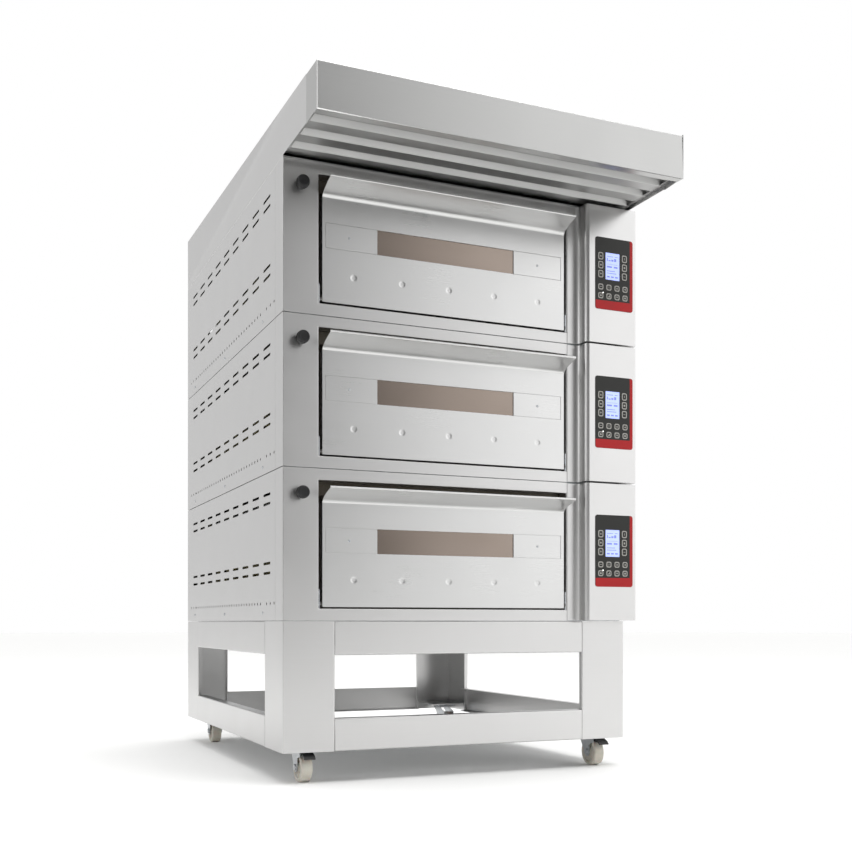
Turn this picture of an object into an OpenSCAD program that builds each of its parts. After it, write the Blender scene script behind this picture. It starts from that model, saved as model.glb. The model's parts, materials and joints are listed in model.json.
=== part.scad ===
// Three-deck electric baking oven with a vapour hood, on a stand with castors.
// Origin: on the floor, under the middle of the whole object. +X is to the
// oven's right as seen from the front, +Y goes to the rear, +Z is up.

/* [Body] */
// Width of the deck bodies, the stand and the hood
body_w = 985; // [960:1:1200]
// Depth of the deck bodies, from the front plane to the rear covers
body_d = 1185; // [1120:1:1450]
// Height of one baking deck
deck_h = 380; // [370:1:470]
// Thickness of the outer stainless sheets
skin_t = 1.5; // [1:0.1:2.5]
// Depth of the turned-in edges of the side and rear covers
pan_d = 12; // [8:1:15]
// Depth of the front frame's own side return
frame_return = 67; // [50:1:90]
// Gap left between neighbouring sheets and pieces
seam = 1; // [0.5:0.1:2]

/* [Front frame and door] */
// Width of the plain column left of the door
column_w = 92.5; // [80:0.5:120]
// Height of the strip below the door opening
sill_h = 31; // [28:1:45]
// Height of the strip above the door opening
lintel_h = 30; // [26:1:50]
// Gap between the opening and the door's left end
door_gap_l = 9.5; // [8:0.5:14]
// Gap between the opening and the door's right end
door_gap_r = 7; // [6.5:0.5:14]
// Gap under the door
door_gap_b = 4; // [3.5:0.5:8]
// Thickness of the door, without the handle lip
door_t = 30; // [24:1:40]
// Gap between the handle lip and the top of the opening
lip_gap = 20; // [16:1:45]
// How far the handle lip stands out
lip_out = 65; // [45:1:80]
// How far the handle lip rises above the flat face
lip_rise = 30; // [20:1:40]
// Width of the handle lip's turned-up edge
lip_edge = 6; // [5:0.5:14]
// Thickness of the door's outer sheet
door_skin_t = 1.5; // [1:0.1:2]
// Width of the window
window_w = 390; // [300:5:560]
// Height of the window and of the band it sits in
window_h = 63; // [50:1:90]
// Height of the window's lower edge above the deck's base
window_z = 170; // [150:1:190]
// Thickness of each window pane
pane_t = 4; // [3:0.5:5]
// Diameter of the round dimples in the door
dimple_d = 20; // [14:1:26]
// Spacing of the dimples
dimple_pitch = 131.5; // [100:0.5:140]
// Height of the dimples above the deck's base
dimple_z = 103; // [80:1:130]
// Radius of the hinge pins
pin_r = 4; // [3:0.5:5]
// Distance of the hinge axis from the door's outer face and lower edge
hinge_in = 8; // [7.5:0.5:10]
// Running clearance around pins, rods and axles
run_gap = 0.05; // [0.02:0.01:0.1]

/* [Control box] */
// Width of the control box, from its seam to its outer side
box_w = 197; // [180:1:240]
// How far the control box stands out to the front
box_out = 40; // [25:1:60]
// How far the control box stands out beyond the body's right side
box_side_out = 15; // [5:1:30]
// Width of the flat strip beside the control box's curve
box_strip = 23; // [10:1:40]
// Radius of the control box's hollow curve
box_r_in = 13; // [8:1:18]
// Radius of the control box's rounded edge
box_r_out = 12; // [8:1:18]
// Width of the keypad
keypad_w = 120; // [100:1:130]
// Height of the keypad
keypad_h = 197; // [180:1:220]
// Height of the keypad's lower edge above the deck's base
keypad_z = 94; // [70:1:110]
// Width of the display's window
screen_w = 46; // [40:1:54]
// Height of the display's window
screen_h = 75; // [60:1:80]
// Size of a square key
key_s = 16; // [12:1:18]

/* [Chamber] */
// Inside width of the baking chamber
chamber_w = 660; // [500:5:680]
// Inside depth of the baking chamber
chamber_d = 1000; // [800:5:1020]
// Inside height of the baking chamber
chamber_h = 238; // [220:1:250]
// Height of the chamber's inside floor above the deck's base
chamber_z = 62; // [58:1:68]
// Thickness of the mineral wool around the chamber
wool_t = 40; // [25:1:44]
// Thickness of the hearth stones
stone_t = 16; // [12:1:20]
// Radius of the heating elements
element_r = 4; // [3:0.25:5]

/* [Vent] */
// Diameter of the vent knob
knob_d = 32; // [24:1:40]
// How far the vent knob stands out
knob_out = 35; // [25:1:45]
// Height of the vent knob above the deck's base
knob_z = 316; // [300:1:330]
// Radius of the vent rod
rod_r = 4; // [3:0.5:5]
// Travel of the vent rod
vent_travel = 60; // [40:1:70]
// Radius of the steam outlet at the rear
flue_r = 25; // [20:1:28]

/* [Hood] */
// How far the hood stands out in front of the decks
hood_out = 276; // [200:1:320]
// Height of the hood's front panel
fascia_h = 111; // [90:1:140]
// Depth of the front panel's side returns
fascia_return = 80; // [60:1:100]
// Height of the hood's rear end
hood_rear_h = 165; // [150:1:200]
// How far the louvred underside lies above the front panel's lower edge
louvre_up = 12; // [8:1:20]
// Spacing of the louvre slots
louvre_pitch = 77; // [60:1:90]
// Width of one louvre slot
louvre_gap = 38; // [25:1:45]
// Radius of the exhaust duct spigot
duct_r = 75; // [60:1:90]
// Height of the exhaust duct spigot above the hood
duct_h = 60; // [40:1:80]

/* [Stand] */
// Height of the stand frame
stand_h = 326; // [250:1:500]
// Gap between the floor and the stand frame
stand_floor = 79; // [78:1:90]
// Width of a leg's front face
leg_w = 135; // [100:1:160]
// Width of a leg's side face
leg_d = 170; // [130:1:200]
// Height of the upper rails
rail_top_h = 85; // [60:1:100]
// Height of the lower rails
rail_low_h = 82; // [60:1:100]
// Width of the rails' turned-in flanges
rail_flange = 30; // [20:1:40]
// Thickness of the stand's sheets
stand_t = 2.5; // [2:0.5:4]

/* [Castors] */
// Diameter of the castor wheels
wheel_d = 75; // [60:1:76]
// Width of the castor wheels
wheel_w = 30; // [24:1:34]
// Distance from the swivel axis to the wheel's axle
castor_trail = 32; // [24:1:38]
// Radius of the castor's king pin
king_r = 6; // [5:0.5:7]
// Radius of the castor's axle
axle_r = 5; // [4:0.5:6]

/* [Hidden] */
DECKS = [1, 2, 3];
CORNERS = ["front_left", "front_right", "rear_left", "rear_right"];

// Finish colours
steel = "#c3c5c5";
dark_steel = "#8d8f90";
black = "#1b1b1c";

// Places shared by all pieces
rear_out = 24;                            // rear stubs stand out this far
screw_head = 2.2;                         // screw heads stand out this far
whole_w = screw_head + body_w + box_side_out;
whole_d = hood_out + body_d + rear_out;
x_l = -whole_w / 2 + screw_head;          // left faces
x_r = x_l + body_w;                       // right faces
x_mid = (x_l + x_r) / 2;
y_f = -whole_d / 2 + hood_out;            // front plane
y_b = y_f + body_d;                       // rear plane
stack_z = stand_floor + stand_h;          // underside of the lowest deck
hood_z = stack_z + len(DECKS) * deck_h;   // top of the highest deck
function base_z(d) = stack_z + (d - 1) * deck_h;

// Door opening and door
box_seam = 3;                             // between the opening and the control box
opening_w = body_w + box_side_out - column_w - box_seam - box_w;
open_x0 = x_l + column_w;
open_x1 = open_x0 + opening_w;
open_z0 = sill_h;
open_z1 = deck_h - lintel_h;
jamb_d = door_t + 4;                      // depth of the opening's turned-in edge
door_x0 = open_x0 + door_gap_l;
door_x1 = open_x1 - door_gap_r;
door_mid = (door_x0 + door_x1) / 2;
door_z0 = open_z0 + door_gap_b;
door_z1 = open_z1 - lip_gap - lip_edge - lip_rise;
door_lip = door_z1 + lip_rise;
hinge_y = y_f + hinge_in;
hinge_z = door_z0 + hinge_in;
window_mid = door_mid - 4.5;
band_inset = 8;                           // from the door's ends to the band

// Control box
box_x0 = open_x1 + box_seam;
box_x1 = box_x0 + box_w;
face_x0 = box_x0 + box_strip + box_r_in + box_r_out;
keypad_x0 = box_x1 - 12 - keypad_w;
screen_x0 = keypad_x0 + 32;
screen_z0 = keypad_z + 82;
keypad_t = 1;

// Chamber
liner_t = 1.5;
mouth_y = y_f + jamb_d + 2;               // front of the chamber's mouth plate
mouth_t = 1.5;
gasket_w = 12;                            // width of the door's gasket
chamber_x0 = door_mid - chamber_w / 2;
chamber_x1 = chamber_x0 + chamber_w;
chamber_y1 = mouth_y + mouth_t + chamber_d;
chamber_z1 = chamber_z + chamber_h;
element_ys = [for (i = [0:2]) mouth_y + chamber_d * (0.14 + 0.3 * i)];
element_bend = chamber_d * 0.06;          // half the width of a U element
low_element_z = chamber_z + 9;
top_element_z = chamber_z1 - 10;
stone_z = chamber_z + 22;
stone_gap = 8;                            // around the hearth stones
ledge_w = 14;                             // ledges that carry the stones
element_end_x = chamber_x1 + wool_t + 14;
lamp_y = mouth_y + chamber_d * 0.27;
lamp_z = chamber_z1 - 60;
lamp_r = 20;

// Vent
knob_x = x_l + 45;
port_y = mouth_y + chamber_d * 0.9;
port_z = knob_z - 60;
gate_x = chamber_x0 - liner_t - wool_t - 3;
flue_x = x_l + 72;
flue_z = port_z;
gland_x = x_r - 85;
gland_z = 60;
gland_r = 9;                              // clear bore for the supply cable

// Hood
nose_y = y_f - hood_out;
fascia_y = nose_y + fascia_return;
fascia_z0 = hood_z - 2;
fascia_z1 = fascia_z0 + fascia_h;
hood_t = 1.5;
fan_y = y_b - 260;
fan_r = 100;
function roof_z(y) = fascia_z1 + (hood_z + hood_rear_h - fascia_z1) * (y - nose_y) / (y_b - nose_y);

// Stand and castors
stand_z1 = stack_z - 0.5;
castor_top = stand_floor + 25;            // top of the castors' own plates
axle_z = wheel_d / 2;
castor_in_x = leg_w / 2;
castor_in_y = leg_d / 2;
plate_t = 3;
function castor_x(c) = (c == 0 || c == 2) ? x_l + castor_in_x : x_r - castor_in_x;
function castor_y(c) = c < 2 ? y_f + castor_in_y : y_b - castor_in_y;

// Points of an arc about c, from angle a0 to a1 in n steps
function arc(c, r, a0, a1, n) =
    [for (i = [0:n]) c + r * [cos(a0 + (a1 - a0) * i / n), sin(a0 + (a1 - a0) * i / n)]];
// Points of a rectangle with rounded corners, n steps to each corner
function round_rect(x0, y0, x1, y1, r, n) = concat(
    arc([x1 - r, y1 - r], r, 0, 90, n), arc([x0 + r, y1 - r], r, 90, 180, n),
    arc([x0 + r, y0 + r], r, 180, 270, n), arc([x1 - r, y0 + r], r, 270, 360, n));
function unit(v) = v / norm(v);

// A box between two corners
module block(x0, x1, y0, y1, z0, z1)
    translate([x0, y0, z0]) cube([x1 - x0, y1 - y0, z1 - z0]);
// Rods along each axis, from one end
module rod_x(x0, x1, y, z, r)
    translate([x0, y, z]) rotate([0, 90, 0]) cylinder(h = x1 - x0, r = r, $fn = 48);
module rod_y(x, y0, y1, z, r)
    translate([x, y0, z]) rotate([-90, 0, 0]) cylinder(h = y1 - y0, r = r, $fn = 48);
module rod_z(x, y, z0, z1, r)
    translate([x, y, z0]) cylinder(h = z1 - z0, r = r, $fn = 48);
// A (Y, Z) outline drawn out along X
module along_x(x0, x1, points)
    translate([x0, 0, 0]) rotate([90, 0, 90]) linear_extrude(height = x1 - x0) polygon(points);
// An (X, Z) outline drawn out along Y
module along_y(y0, y1, points)
    translate([0, y1, 0]) rotate([90, 0, 0]) linear_extrude(height = y1 - y0) polygon(points);
// A round wire along a path that stays across the X axis
module wire(path, r, sides) {
    n = len(path);
    rings = [for (i = [0:n - 1])
        let (t = unit(path[min(i + 1, n - 1)] - path[max(i - 1, 0)]),
             u = unit(cross(t, [1, 0, 0])), v = cross(u, t))
        for (k = [0:sides - 1])
            path[i] + r * (cos(360 * k / sides) * u + sin(360 * k / sides) * v)];
    walls = [for (i = [0:n - 2]) for (k = [0:sides - 1])
        let (a = i * sides + k, b = i * sides + (k + 1) % sides)
        [a, b, b + sides, a + sides]];
    polyhedron(rings, concat(walls, [[for (k = [sides - 1:-1:0]) k]],
        [[for (k = [0:sides - 1]) (n - 1) * sides + k]]));
}

// ---- Stand ----

module corner_leg(x, y, sx, sy)
    translate([x, y, stand_floor]) mirror([sx < 0 ? 1 : 0, 0, 0]) mirror([0, sy < 0 ? 1 : 0, 0]) {
        difference() {
            cube([leg_w, leg_d, stand_z1 - stand_floor]);
            translate([stand_t, stand_t, -1]) cube([leg_w, leg_d, stand_h + 2]);
        }
        // turned-in edges
        translate([leg_w - stand_t, stand_t, 0]) cube([stand_t, 12, stand_z1 - stand_floor]);
        translate([stand_t, leg_d - stand_t, 0]) cube([12, stand_t, stand_z1 - stand_floor]);
        // shelf that the castor's plate is bolted under
        translate([stand_t, stand_t, castor_top - stand_floor])
            cube([leg_w - 2 * stand_t, leg_d - 2 * stand_t, plate_t]);
    }

module stand_legs() color(steel) {
    corner_leg(x_l, y_f, 1, 1);
    corner_leg(x_r, y_f, -1, 1);
    corner_leg(x_l, y_b, 1, -1);
    corner_leg(x_r, y_b, -1, -1);
}

// Channel rail with its web outside, open to the inside
module channel_x(y, sy, z0, h) {
    x0 = x_l + leg_w + 0.2;
    x1 = x_r - leg_w - 0.2;
    y0 = sy > 0 ? y : y - stand_t;
    f0 = sy > 0 ? y : y - rail_flange;
    block(x0, x1, y0, y0 + stand_t, z0, z0 + h);
    block(x0, x1, f0, f0 + rail_flange, z0, z0 + stand_t);
    block(x0, x1, f0, f0 + rail_flange, z0 + h - stand_t, z0 + h);
}
module channel_y(x, sx, z0, h) {
    y0 = y_f + leg_d + 0.2;
    y1 = y_b - leg_d - 0.2;
    x0 = sx > 0 ? x : x - stand_t;
    f0 = sx > 0 ? x : x - rail_flange;
    block(x0, x0 + stand_t, y0, y1, z0, z0 + h);
    block(f0, f0 + rail_flange, y0, y1, z0, z0 + stand_t);
    block(f0, f0 + rail_flange, y0, y1, z0 + h - stand_t, z0 + h);
}

module stand_rails() color(steel)
    for (level = [[stand_floor, rail_low_h], [stand_z1 - rail_top_h, rail_top_h]]) {
        channel_x(y_f, 1, level[0], level[1]);
        channel_x(y_b, -1, level[0], level[1]);
        channel_y(x_l, 1, level[0], level[1]);
        channel_y(x_r, -1, level[0], level[1]);
    }

// ---- Castors ----

castor_plate_w = 84;
castor_plate_d = 104;
race_r = 22;
race_h = 7;
crown_z = castor_top - plate_t - race_h - 1;
cheek_t = 2.5;
cheek_x = wheel_w / 2 + 2;

module castor_plates() color(dark_steel)
    for (c = [0:3]) translate([castor_x(c), castor_y(c), 0]) {
        difference() {
            union() {
                block(-castor_plate_w / 2, castor_plate_w / 2, -castor_plate_d / 2, castor_plate_d / 2,
                    castor_top - plate_t, castor_top);
                rod_z(0, 0, castor_top - plate_t - race_h, castor_top - plate_t, race_r);
            }
            rod_z(0, 0, castor_top - plate_t - race_h - 1, castor_top + 1, king_r + run_gap);
        }
        for (sx = [-1, 1], sy = [-1, 1])
            translate([sx * (castor_plate_w / 2 - 12), sy * (castor_plate_d / 2 - 12),
                castor_top - plate_t - 5.6])
                cylinder(h = 5.4, r = 6.5, $fn = 6);
    }

brake_pin_r = 2.5;
brake_y = -castor_trail - 28;
brake_z = axle_z + 35;

// Cheek outline: from the crown down to a rounded end around the axle
function cheek_outline() = concat(
    [[24, crown_z], [24, crown_z - 6], [6, crown_z - 18]],
    arc([-castor_trail, axle_z], 13, -60, -180, 8),
    [[-castor_trail - 13, crown_z - 33], [brake_y - 5, brake_z - 6], [brake_y - 6, brake_z + 4],
     [-castor_trail - 8, crown_z - 7], [-30, crown_z - 2], [-24, crown_z]]);

module castor_fork(c) color(dark_steel) translate([castor_x(c), castor_y(c), 0]) {
    difference() {
        union() {
            block(-cheek_x - cheek_t, cheek_x + cheek_t, -26, 24, crown_z - cheek_t, crown_z);
            for (x = [-cheek_x - cheek_t, cheek_x]) along_x(x, x + cheek_t, cheek_outline());
        }
        rod_x(-cheek_x - 5, cheek_x + 5, -castor_trail, axle_z, axle_r);
    }
    if (c < 2) rod_x(-cheek_x - cheek_t, cheek_x + cheek_t, brake_y, brake_z, brake_pin_r);
    rod_z(0, 0, crown_z, castor_top - 0.5, king_r);
    rod_x(-cheek_x - cheek_t - 4, cheek_x + cheek_t + 4, -castor_trail, axle_z, axle_r);
    for (x = [-cheek_x - cheek_t - 4, cheek_x + cheek_t])
        translate([x, -castor_trail, axle_z]) rotate([0, 90, 0]) cylinder(h = 4, r = 8, $fn = 6);
}

module castor_wheel(c) color("#cfcabf")
    translate([castor_x(c), castor_y(c) - castor_trail, axle_z]) rotate([0, 90, 0])
        rotate_extrude($fn = 96) polygon(concat(
            [[axle_r + run_gap, -wheel_w / 2 - 1], [12, -wheel_w / 2 - 1], [14, -wheel_w / 2 + 3],
             [wheel_d / 2 - 11, -wheel_w / 2 + 4], [wheel_d / 2 - 9, -wheel_w / 2]],
            arc([wheel_d / 2 - 4, -wheel_w / 2 + 4], 4, -90, 0, 4),
            arc([wheel_d / 2 - 4, wheel_w / 2 - 4], 4, 0, 90, 4),
            [[wheel_d / 2 - 9, wheel_w / 2], [wheel_d / 2 - 11, wheel_w / 2 - 4],
             [14, wheel_w / 2 - 3], [12, wheel_w / 2 + 1], [axle_r + run_gap, wheel_w / 2 + 1]]));

// Foot lever of the wheel brake, on its own pin above the wheel's front
module brake_pedal(c) color(black) translate([castor_x(c), castor_y(c), 0]) difference() {
    along_x(-wheel_w / 2, wheel_w / 2, [for (p = [[6, 4], [-10, 4], [-24, -1], [-32, -9], [-30, -11],
        [-21, -5], [-8, -4], [4, -4]]) [brake_y + p[0], brake_z + p[1]]]);
    rod_x(-wheel_w, wheel_w, brake_y, brake_z, brake_pin_r + run_gap);
}

// ---- Deck structure ----

tray_t = 2;
post_w = 20;
module corner_post(x, y, sx, sy)
    translate([x, y, 0.7 + tray_t]) mirror([sx < 0 ? 1 : 0, 0, 0]) mirror([0, sy < 0 ? 1 : 0, 0])
        difference() {
            cube([post_w, post_w, deck_h - 1.4 - 2 * tray_t]);
            translate([tray_t, tray_t, -1]) cube([post_w, post_w, deck_h]);
        }

module chassis() color(dark_steel) for (d = DECKS) translate([0, 0, base_z(d)]) {
    x0 = x_l + pan_d + 0.3;
    x1 = x_r - pan_d - 0.3;
    y0 = y_f + skin_t + 0.3;
    y1 = y_b - skin_t - 0.3;
    // base and roof sheets, with a post at each corner between them
    for (z = [0.5, deck_h - 0.5 - tray_t]) block(x0, x1, y0, y1, z, z + tray_t);
    corner_post(x0, y0 + frame_return, 1, 1);
    corner_post(x1, y0 + frame_return, -1, 1);
    corner_post(x0, y1, 1, -1);
    corner_post(x1, y1, -1, -1);
}

slot_l = 68;
slot_h = 7;
slot_pitch = 113.5;
slot_first = 80;
perf_d = 8;
perf_pitch = 28.2;
perf_z = 44;
cover_y0 = y_f + frame_return + seam;
cover_len = y_b - cover_y0;
slot_rows = [deck_h - 56, deck_h - 80, 147, 122];
slot_count = floor((cover_len - slot_first - slot_l / 2) / slot_pitch) + 1;

module slot_2d(l, h) {
    square([l - h, h], center = true);
    for (s = [-1, 1]) translate([s * (l - h) / 2, 0]) circle(d = h, $fn = 24);
}
// Distances of the small holes from the cover's front edge: a long run between two groups of three
perf_group = [for (i = [0:2]) i * 36.5];
perf_run = (cover_len - 290) / 28;
perf_xs = concat([for (p = perf_group) 11 + p], [for (i = [0:28]) 145 + perf_run * i],
    [for (p = perf_group) cover_len - 135 + p]);

// Side cover drawn flat: x to the rear, y up
module side_cover_2d() difference() {
    square([cover_len - seam, deck_h - 2 * seam]);
    for (z = slot_rows, i = [0:slot_count - 1])
        translate([slot_first + slot_pitch * i, z]) slot_2d(slot_l, slot_h);
    for (p = perf_xs) translate([p, perf_z]) circle(d = perf_d, $fn = 24);
}
module side_cover(x, sx) translate([x, cover_y0, seam]) mirror([sx < 0 ? 1 : 0, 0, 0]) {
    l = cover_len - seam;
    h = deck_h - 2 * seam;
    rotate([90, 0, 90]) linear_extrude(height = skin_t) side_cover_2d();
    difference() {
        cube([pan_d, l, h]);
        translate([-1, skin_t, skin_t]) cube([pan_d + 2, l - 2 * skin_t, h - 2 * skin_t]);
    }
}
module left_covers() color(steel) for (d = DECKS) translate([0, 0, base_z(d)]) side_cover(x_l, 1);
module right_covers() color(steel) for (d = DECKS) translate([0, 0, base_z(d)]) side_cover(x_r, -1);

module rear_cover() {
    x0 = x_l + skin_t + pan_d + seam;
    x1 = x_r - skin_t - pan_d - seam;
    difference() {
        block(x0, x1, y_b - skin_t, y_b, seam, deck_h - seam);
        rod_y(flue_x, y_b - 5, y_b + 5, flue_z, flue_r + 0.3);
        rod_y(gland_x, y_b - 5, y_b + 5, gland_z, gland_r + 5.3);
        for (z = [110, 134, deck_h - 100, deck_h - 76], i = [0:5])
            translate([x_mid + (i - 2.5) * slot_pitch, y_b + 5, z]) rotate([90, 0, 0])
                linear_extrude(height = 10) slot_2d(slot_l, slot_h);
    }
}
module rear_covers() color(steel) for (d = DECKS) translate([0, 0, base_z(d)]) rear_cover();

module front_frame(d) color(steel) translate([0, 0, base_z(d)]) difference() {
    union() {
        block(x_l, box_x0 - 0.5, y_f, y_f + skin_t, seam, deck_h - seam);
        block(x_l, x_l + skin_t, y_f, y_f + frame_return, seam, deck_h - seam);
        // turned-in edge of the door opening
        block(open_x0 - skin_t, open_x1 + skin_t, y_f, y_f + jamb_d, open_z0 - skin_t, open_z1 + skin_t);
    }
    block(open_x0, open_x1, y_f - 1, y_f + jamb_d + 1, open_z0, open_z1);
    rod_y(knob_x, y_f - 1, y_f + skin_t + 1, knob_z, rod_r + run_gap);
}

// Control box in plan: flat strip, hollow curve, rounded edge, face, corner and side
function box_line(t) = concat(
    [[box_x0, y_f + t], [box_x0 + box_strip, y_f + t]],
    arc([box_x0 + box_strip, y_f - box_r_in], box_r_in + t, 90, 0, 8),
    arc([face_x0, y_f - box_out + box_r_out], box_r_out - t, 180, 270, 8),
    arc([box_x1 - 5, y_f - box_out + 5], 5 - t, -90, 0, 4),
    [[box_x1 - t, y_f + frame_return - t], [x_r + seam, y_f + frame_return - t]]);
function reversed(v) = [for (i = [len(v) - 1:-1:0]) v[i]];

module control_box(d) color(steel) translate([0, 0, base_z(d)]) difference() {
    union() {
        translate([0, 0, 2]) linear_extrude(height = deck_h - 5)
            polygon(concat(box_line(0), reversed(box_line(skin_t))));
        for (z = [2, deck_h - 3 - skin_t]) translate([0, 0, z]) linear_extrude(height = skin_t)
            polygon(concat(box_line(0), [[x_r + seam, y_f + skin_t], [box_x0, y_f + skin_t]]));
    }
    block(screen_x0, screen_x0 + screen_w, y_f - box_out - 1, y_f - box_out + skin_t + 1,
        screen_z0, screen_z0 + screen_h);
}

// ---- Baking chamber ----

module element_holes(r) for (y = element_ys, s = [-1, 1], z = [low_element_z, top_element_z])
    rod_x(chamber_x1 - 5, chamber_x1 + wool_t + 10, y + s * element_bend, z, r);

sheet_gap = 0.1;                          // between the chamber's sheets
module chamber_walls() {
    x0 = chamber_x0 - liner_t;
    x1 = chamber_x1 + liner_t;
    y0 = mouth_y + mouth_t + sheet_gap;
    z0 = chamber_z - liner_t;
    z1 = chamber_z1 + liner_t;
    for (z = [z0, z1 - liner_t]) block(x0, x1, y0, chamber_y1 + liner_t, z, z + liner_t);
    for (x = [x0, x1 - liner_t])
        block(x, x + liner_t, y0, chamber_y1 + liner_t, chamber_z + sheet_gap, chamber_z1 - sheet_gap);
    block(chamber_x0 + sheet_gap, chamber_x1 - sheet_gap, chamber_y1, chamber_y1 + liner_t,
        chamber_z + sheet_gap, chamber_z1 - sheet_gap);
}

// Mouth plate that the door closes on, in four strips round the chamber
module mouth_plate() {
    x0 = open_x0 - 28;
    x1 = box_x0 + 20;
    y1 = mouth_y + mouth_t;
    block(x0, x1, mouth_y, y1, 14, chamber_z);
    block(x0, x1, mouth_y, y1, chamber_z1, deck_h - 12);
    block(x0, chamber_x0, mouth_y, y1, chamber_z + sheet_gap, chamber_z1 - sheet_gap);
    block(chamber_x1, x1, mouth_y, y1, chamber_z + sheet_gap, chamber_z1 - sheet_gap);
}

module chamber(d) color("#9a938a") translate([0, 0, base_z(d)]) {
    mouth_plate();
    difference() {
        chamber_walls();
        element_holes(element_r + 0.5);
        rod_x(chamber_x1 - 2, chamber_x1 + 4, lamp_y, lamp_z, lamp_r + 0.5);
        rod_x(chamber_x0 - 4, chamber_x0 + 2, port_y, port_z, flue_r - 1);
    }
    // ledges for the hearth stones
    for (x = [chamber_x0 + sheet_gap, chamber_x1 - ledge_w - sheet_gap])
        block(x, x + ledge_w, mouth_y + mouth_t + 10, chamber_y1 - 10, stone_z - 2, stone_z);
}

module insulation() color("#d9cf9f") for (d = DECKS) translate([0, 0, base_z(d)]) difference() {
    block(chamber_x0 - liner_t - wool_t, chamber_x1 + liner_t + wool_t, mouth_y + mouth_t + 0.2,
        chamber_y1 + liner_t + wool_t, chamber_z - liner_t - wool_t, chamber_z1 + liner_t + wool_t);
    block(chamber_x0 - liner_t - 0.2, chamber_x1 + liner_t + 0.2, mouth_y, chamber_y1 + liner_t + 0.2,
        chamber_z - liner_t - 0.2, chamber_z1 + liner_t + 0.2);
    element_holes(element_r + 1);
    rod_x(chamber_x1 - 2, chamber_x1 + wool_t + 10, lamp_y, lamp_z, lamp_r + 1);
    rod_x(chamber_x0 - wool_t - 10, chamber_x0 + 2, port_y, port_z, flue_r + 1);
}

module hearth_stones() color("#cdbfa6") for (d = DECKS, i = [0, 1]) translate([0, 0, base_z(d)]) {
    x0 = chamber_x0 + stone_gap + i * (chamber_w / 2 - stone_gap + 1);
    block(x0, x0 + chamber_w / 2 - stone_gap - 1, mouth_y + mouth_t + 14, chamber_y1 - stone_gap - 6,
        stone_z + 0.1, stone_z + 0.1 + stone_t);
}

// U-shaped rod with both ends through the chamber's right wall
module element_u(y, z) {
    x0 = chamber_x0 + 22 + element_bend;
    for (s = [-1, 1]) rod_x(x0, element_end_x, y + s * element_bend, z, element_r);
    translate([x0, y, z]) rotate([0, 0, 90]) rotate_extrude(angle = 180, $fn = 48)
        translate([element_bend, 0]) circle(r = element_r, $fn = 24);
}
module heating_elements() color("#5a5450")
    for (d = DECKS, y = element_ys, z = [low_element_z, top_element_z])
        translate([0, 0, base_z(d)]) element_u(y, z);

module lamps() color("#e8e2c8") for (d = DECKS) translate([0, 0, base_z(d)]) {
    rod_x(chamber_x1 - 1, chamber_x1 + wool_t + 12, lamp_y, lamp_z, lamp_r);
    rod_x(chamber_x1 + wool_t + 12, chamber_x1 + wool_t + 32, lamp_y, lamp_z, 12);
}

// ---- Controls and electrical gear ----

key_col_w = 78 / 3;
keypad_face = y_f - box_out;
key_rows = [keypad_z + 61, keypad_z + 37];
side_key_zs = [for (i = [0:2]) screen_z0 + 14 + i * (screen_h - 26) / 2];

module keypads() color(black) for (d = DECKS) translate([0, 0, base_z(d)]) {
    difference() {
        along_y(keypad_face - keypad_t, keypad_face - 0.05,
            round_rect(keypad_x0, keypad_z, keypad_x0 + keypad_w, keypad_z + keypad_h, 7, 4));
        block(screen_x0, screen_x0 + screen_w, keypad_face - 3, keypad_face + 3,
            screen_z0, screen_z0 + screen_h);
    }
    for (z = key_rows, i = [0:3]) translate([keypad_x0 + 17 + i * key_col_w, 0, z])
        block(-key_s / 2, key_s / 2, keypad_face - keypad_t - 0.6, keypad_face - keypad_t + 0.2,
            -key_s / 2, key_s / 2);
    for (z = side_key_zs, x = [keypad_x0 + 17, screen_x0 + screen_w + 15])
        block(x - 8, x + 8, keypad_face - keypad_t - 0.6, keypad_face - keypad_t + 0.2, z - 10, z + 10);
}

module displays() color("#aab4f0") for (d = DECKS) translate([0, 0, base_z(d)]) {
    block(screen_x0 + 0.2, screen_x0 + screen_w - 0.2, keypad_face - 0.4, keypad_face + skin_t + 0.4,
        screen_z0 + 0.2, screen_z0 + screen_h - 0.2);
    block(screen_x0 - 6, screen_x0 + screen_w + 6, keypad_face + skin_t + 0.4, keypad_face + 9,
        screen_z0 - 6, screen_z0 + screen_h + 6);
}

module electrical_gear() color("#2f6b46") for (d = DECKS) translate([0, 0, base_z(d)]) {
    // control board behind the keypad, contactors and terminals on the compartment's wall
    block(keypad_x0 + 4, keypad_x0 + keypad_w - 6, keypad_face + 14, keypad_face + 15.6,
        keypad_z + 8, keypad_z + keypad_h - 8);
    for (i = [0:2]) block(x_r - 80, x_r - 35, y_f + 330 + i * 60, y_f + 375 + i * 60, 150, 232);
    block(x_r - 62, x_r - 34, y_b - 300, y_b - 160, 60, 100);
}

// ---- Steam vent, glands ----

module steam_flues() color(dark_steel) for (d = DECKS) translate([0, 0, base_z(d)]) {
    // port through the wool, from the chamber to the side channel
    difference() {
        rod_x(chamber_x0 - liner_t - wool_t, chamber_x0 - liner_t - 0.1, port_y, port_z, flue_r + 0.6);
        rod_x(chamber_x0 - liner_t - wool_t - 1, chamber_x0, port_y, port_z, flue_r - 1);
    }
    // outlet stub with a flange inside the rear cover
    difference() {
        union() {
            rod_y(flue_x, y_b - 30, y_b + 1, flue_z, flue_r - 0.8);
            rod_y(flue_x, y_b + 0.5, y_b + rear_out, flue_z, flue_r);
            rod_y(flue_x, y_b - skin_t - 2.2, y_b - skin_t - 0.2, flue_z, flue_r + 8);
        }
        rod_y(flue_x, y_b - 31, y_b + rear_out + 1, flue_z, flue_r - 2.3);
    }
}

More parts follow.
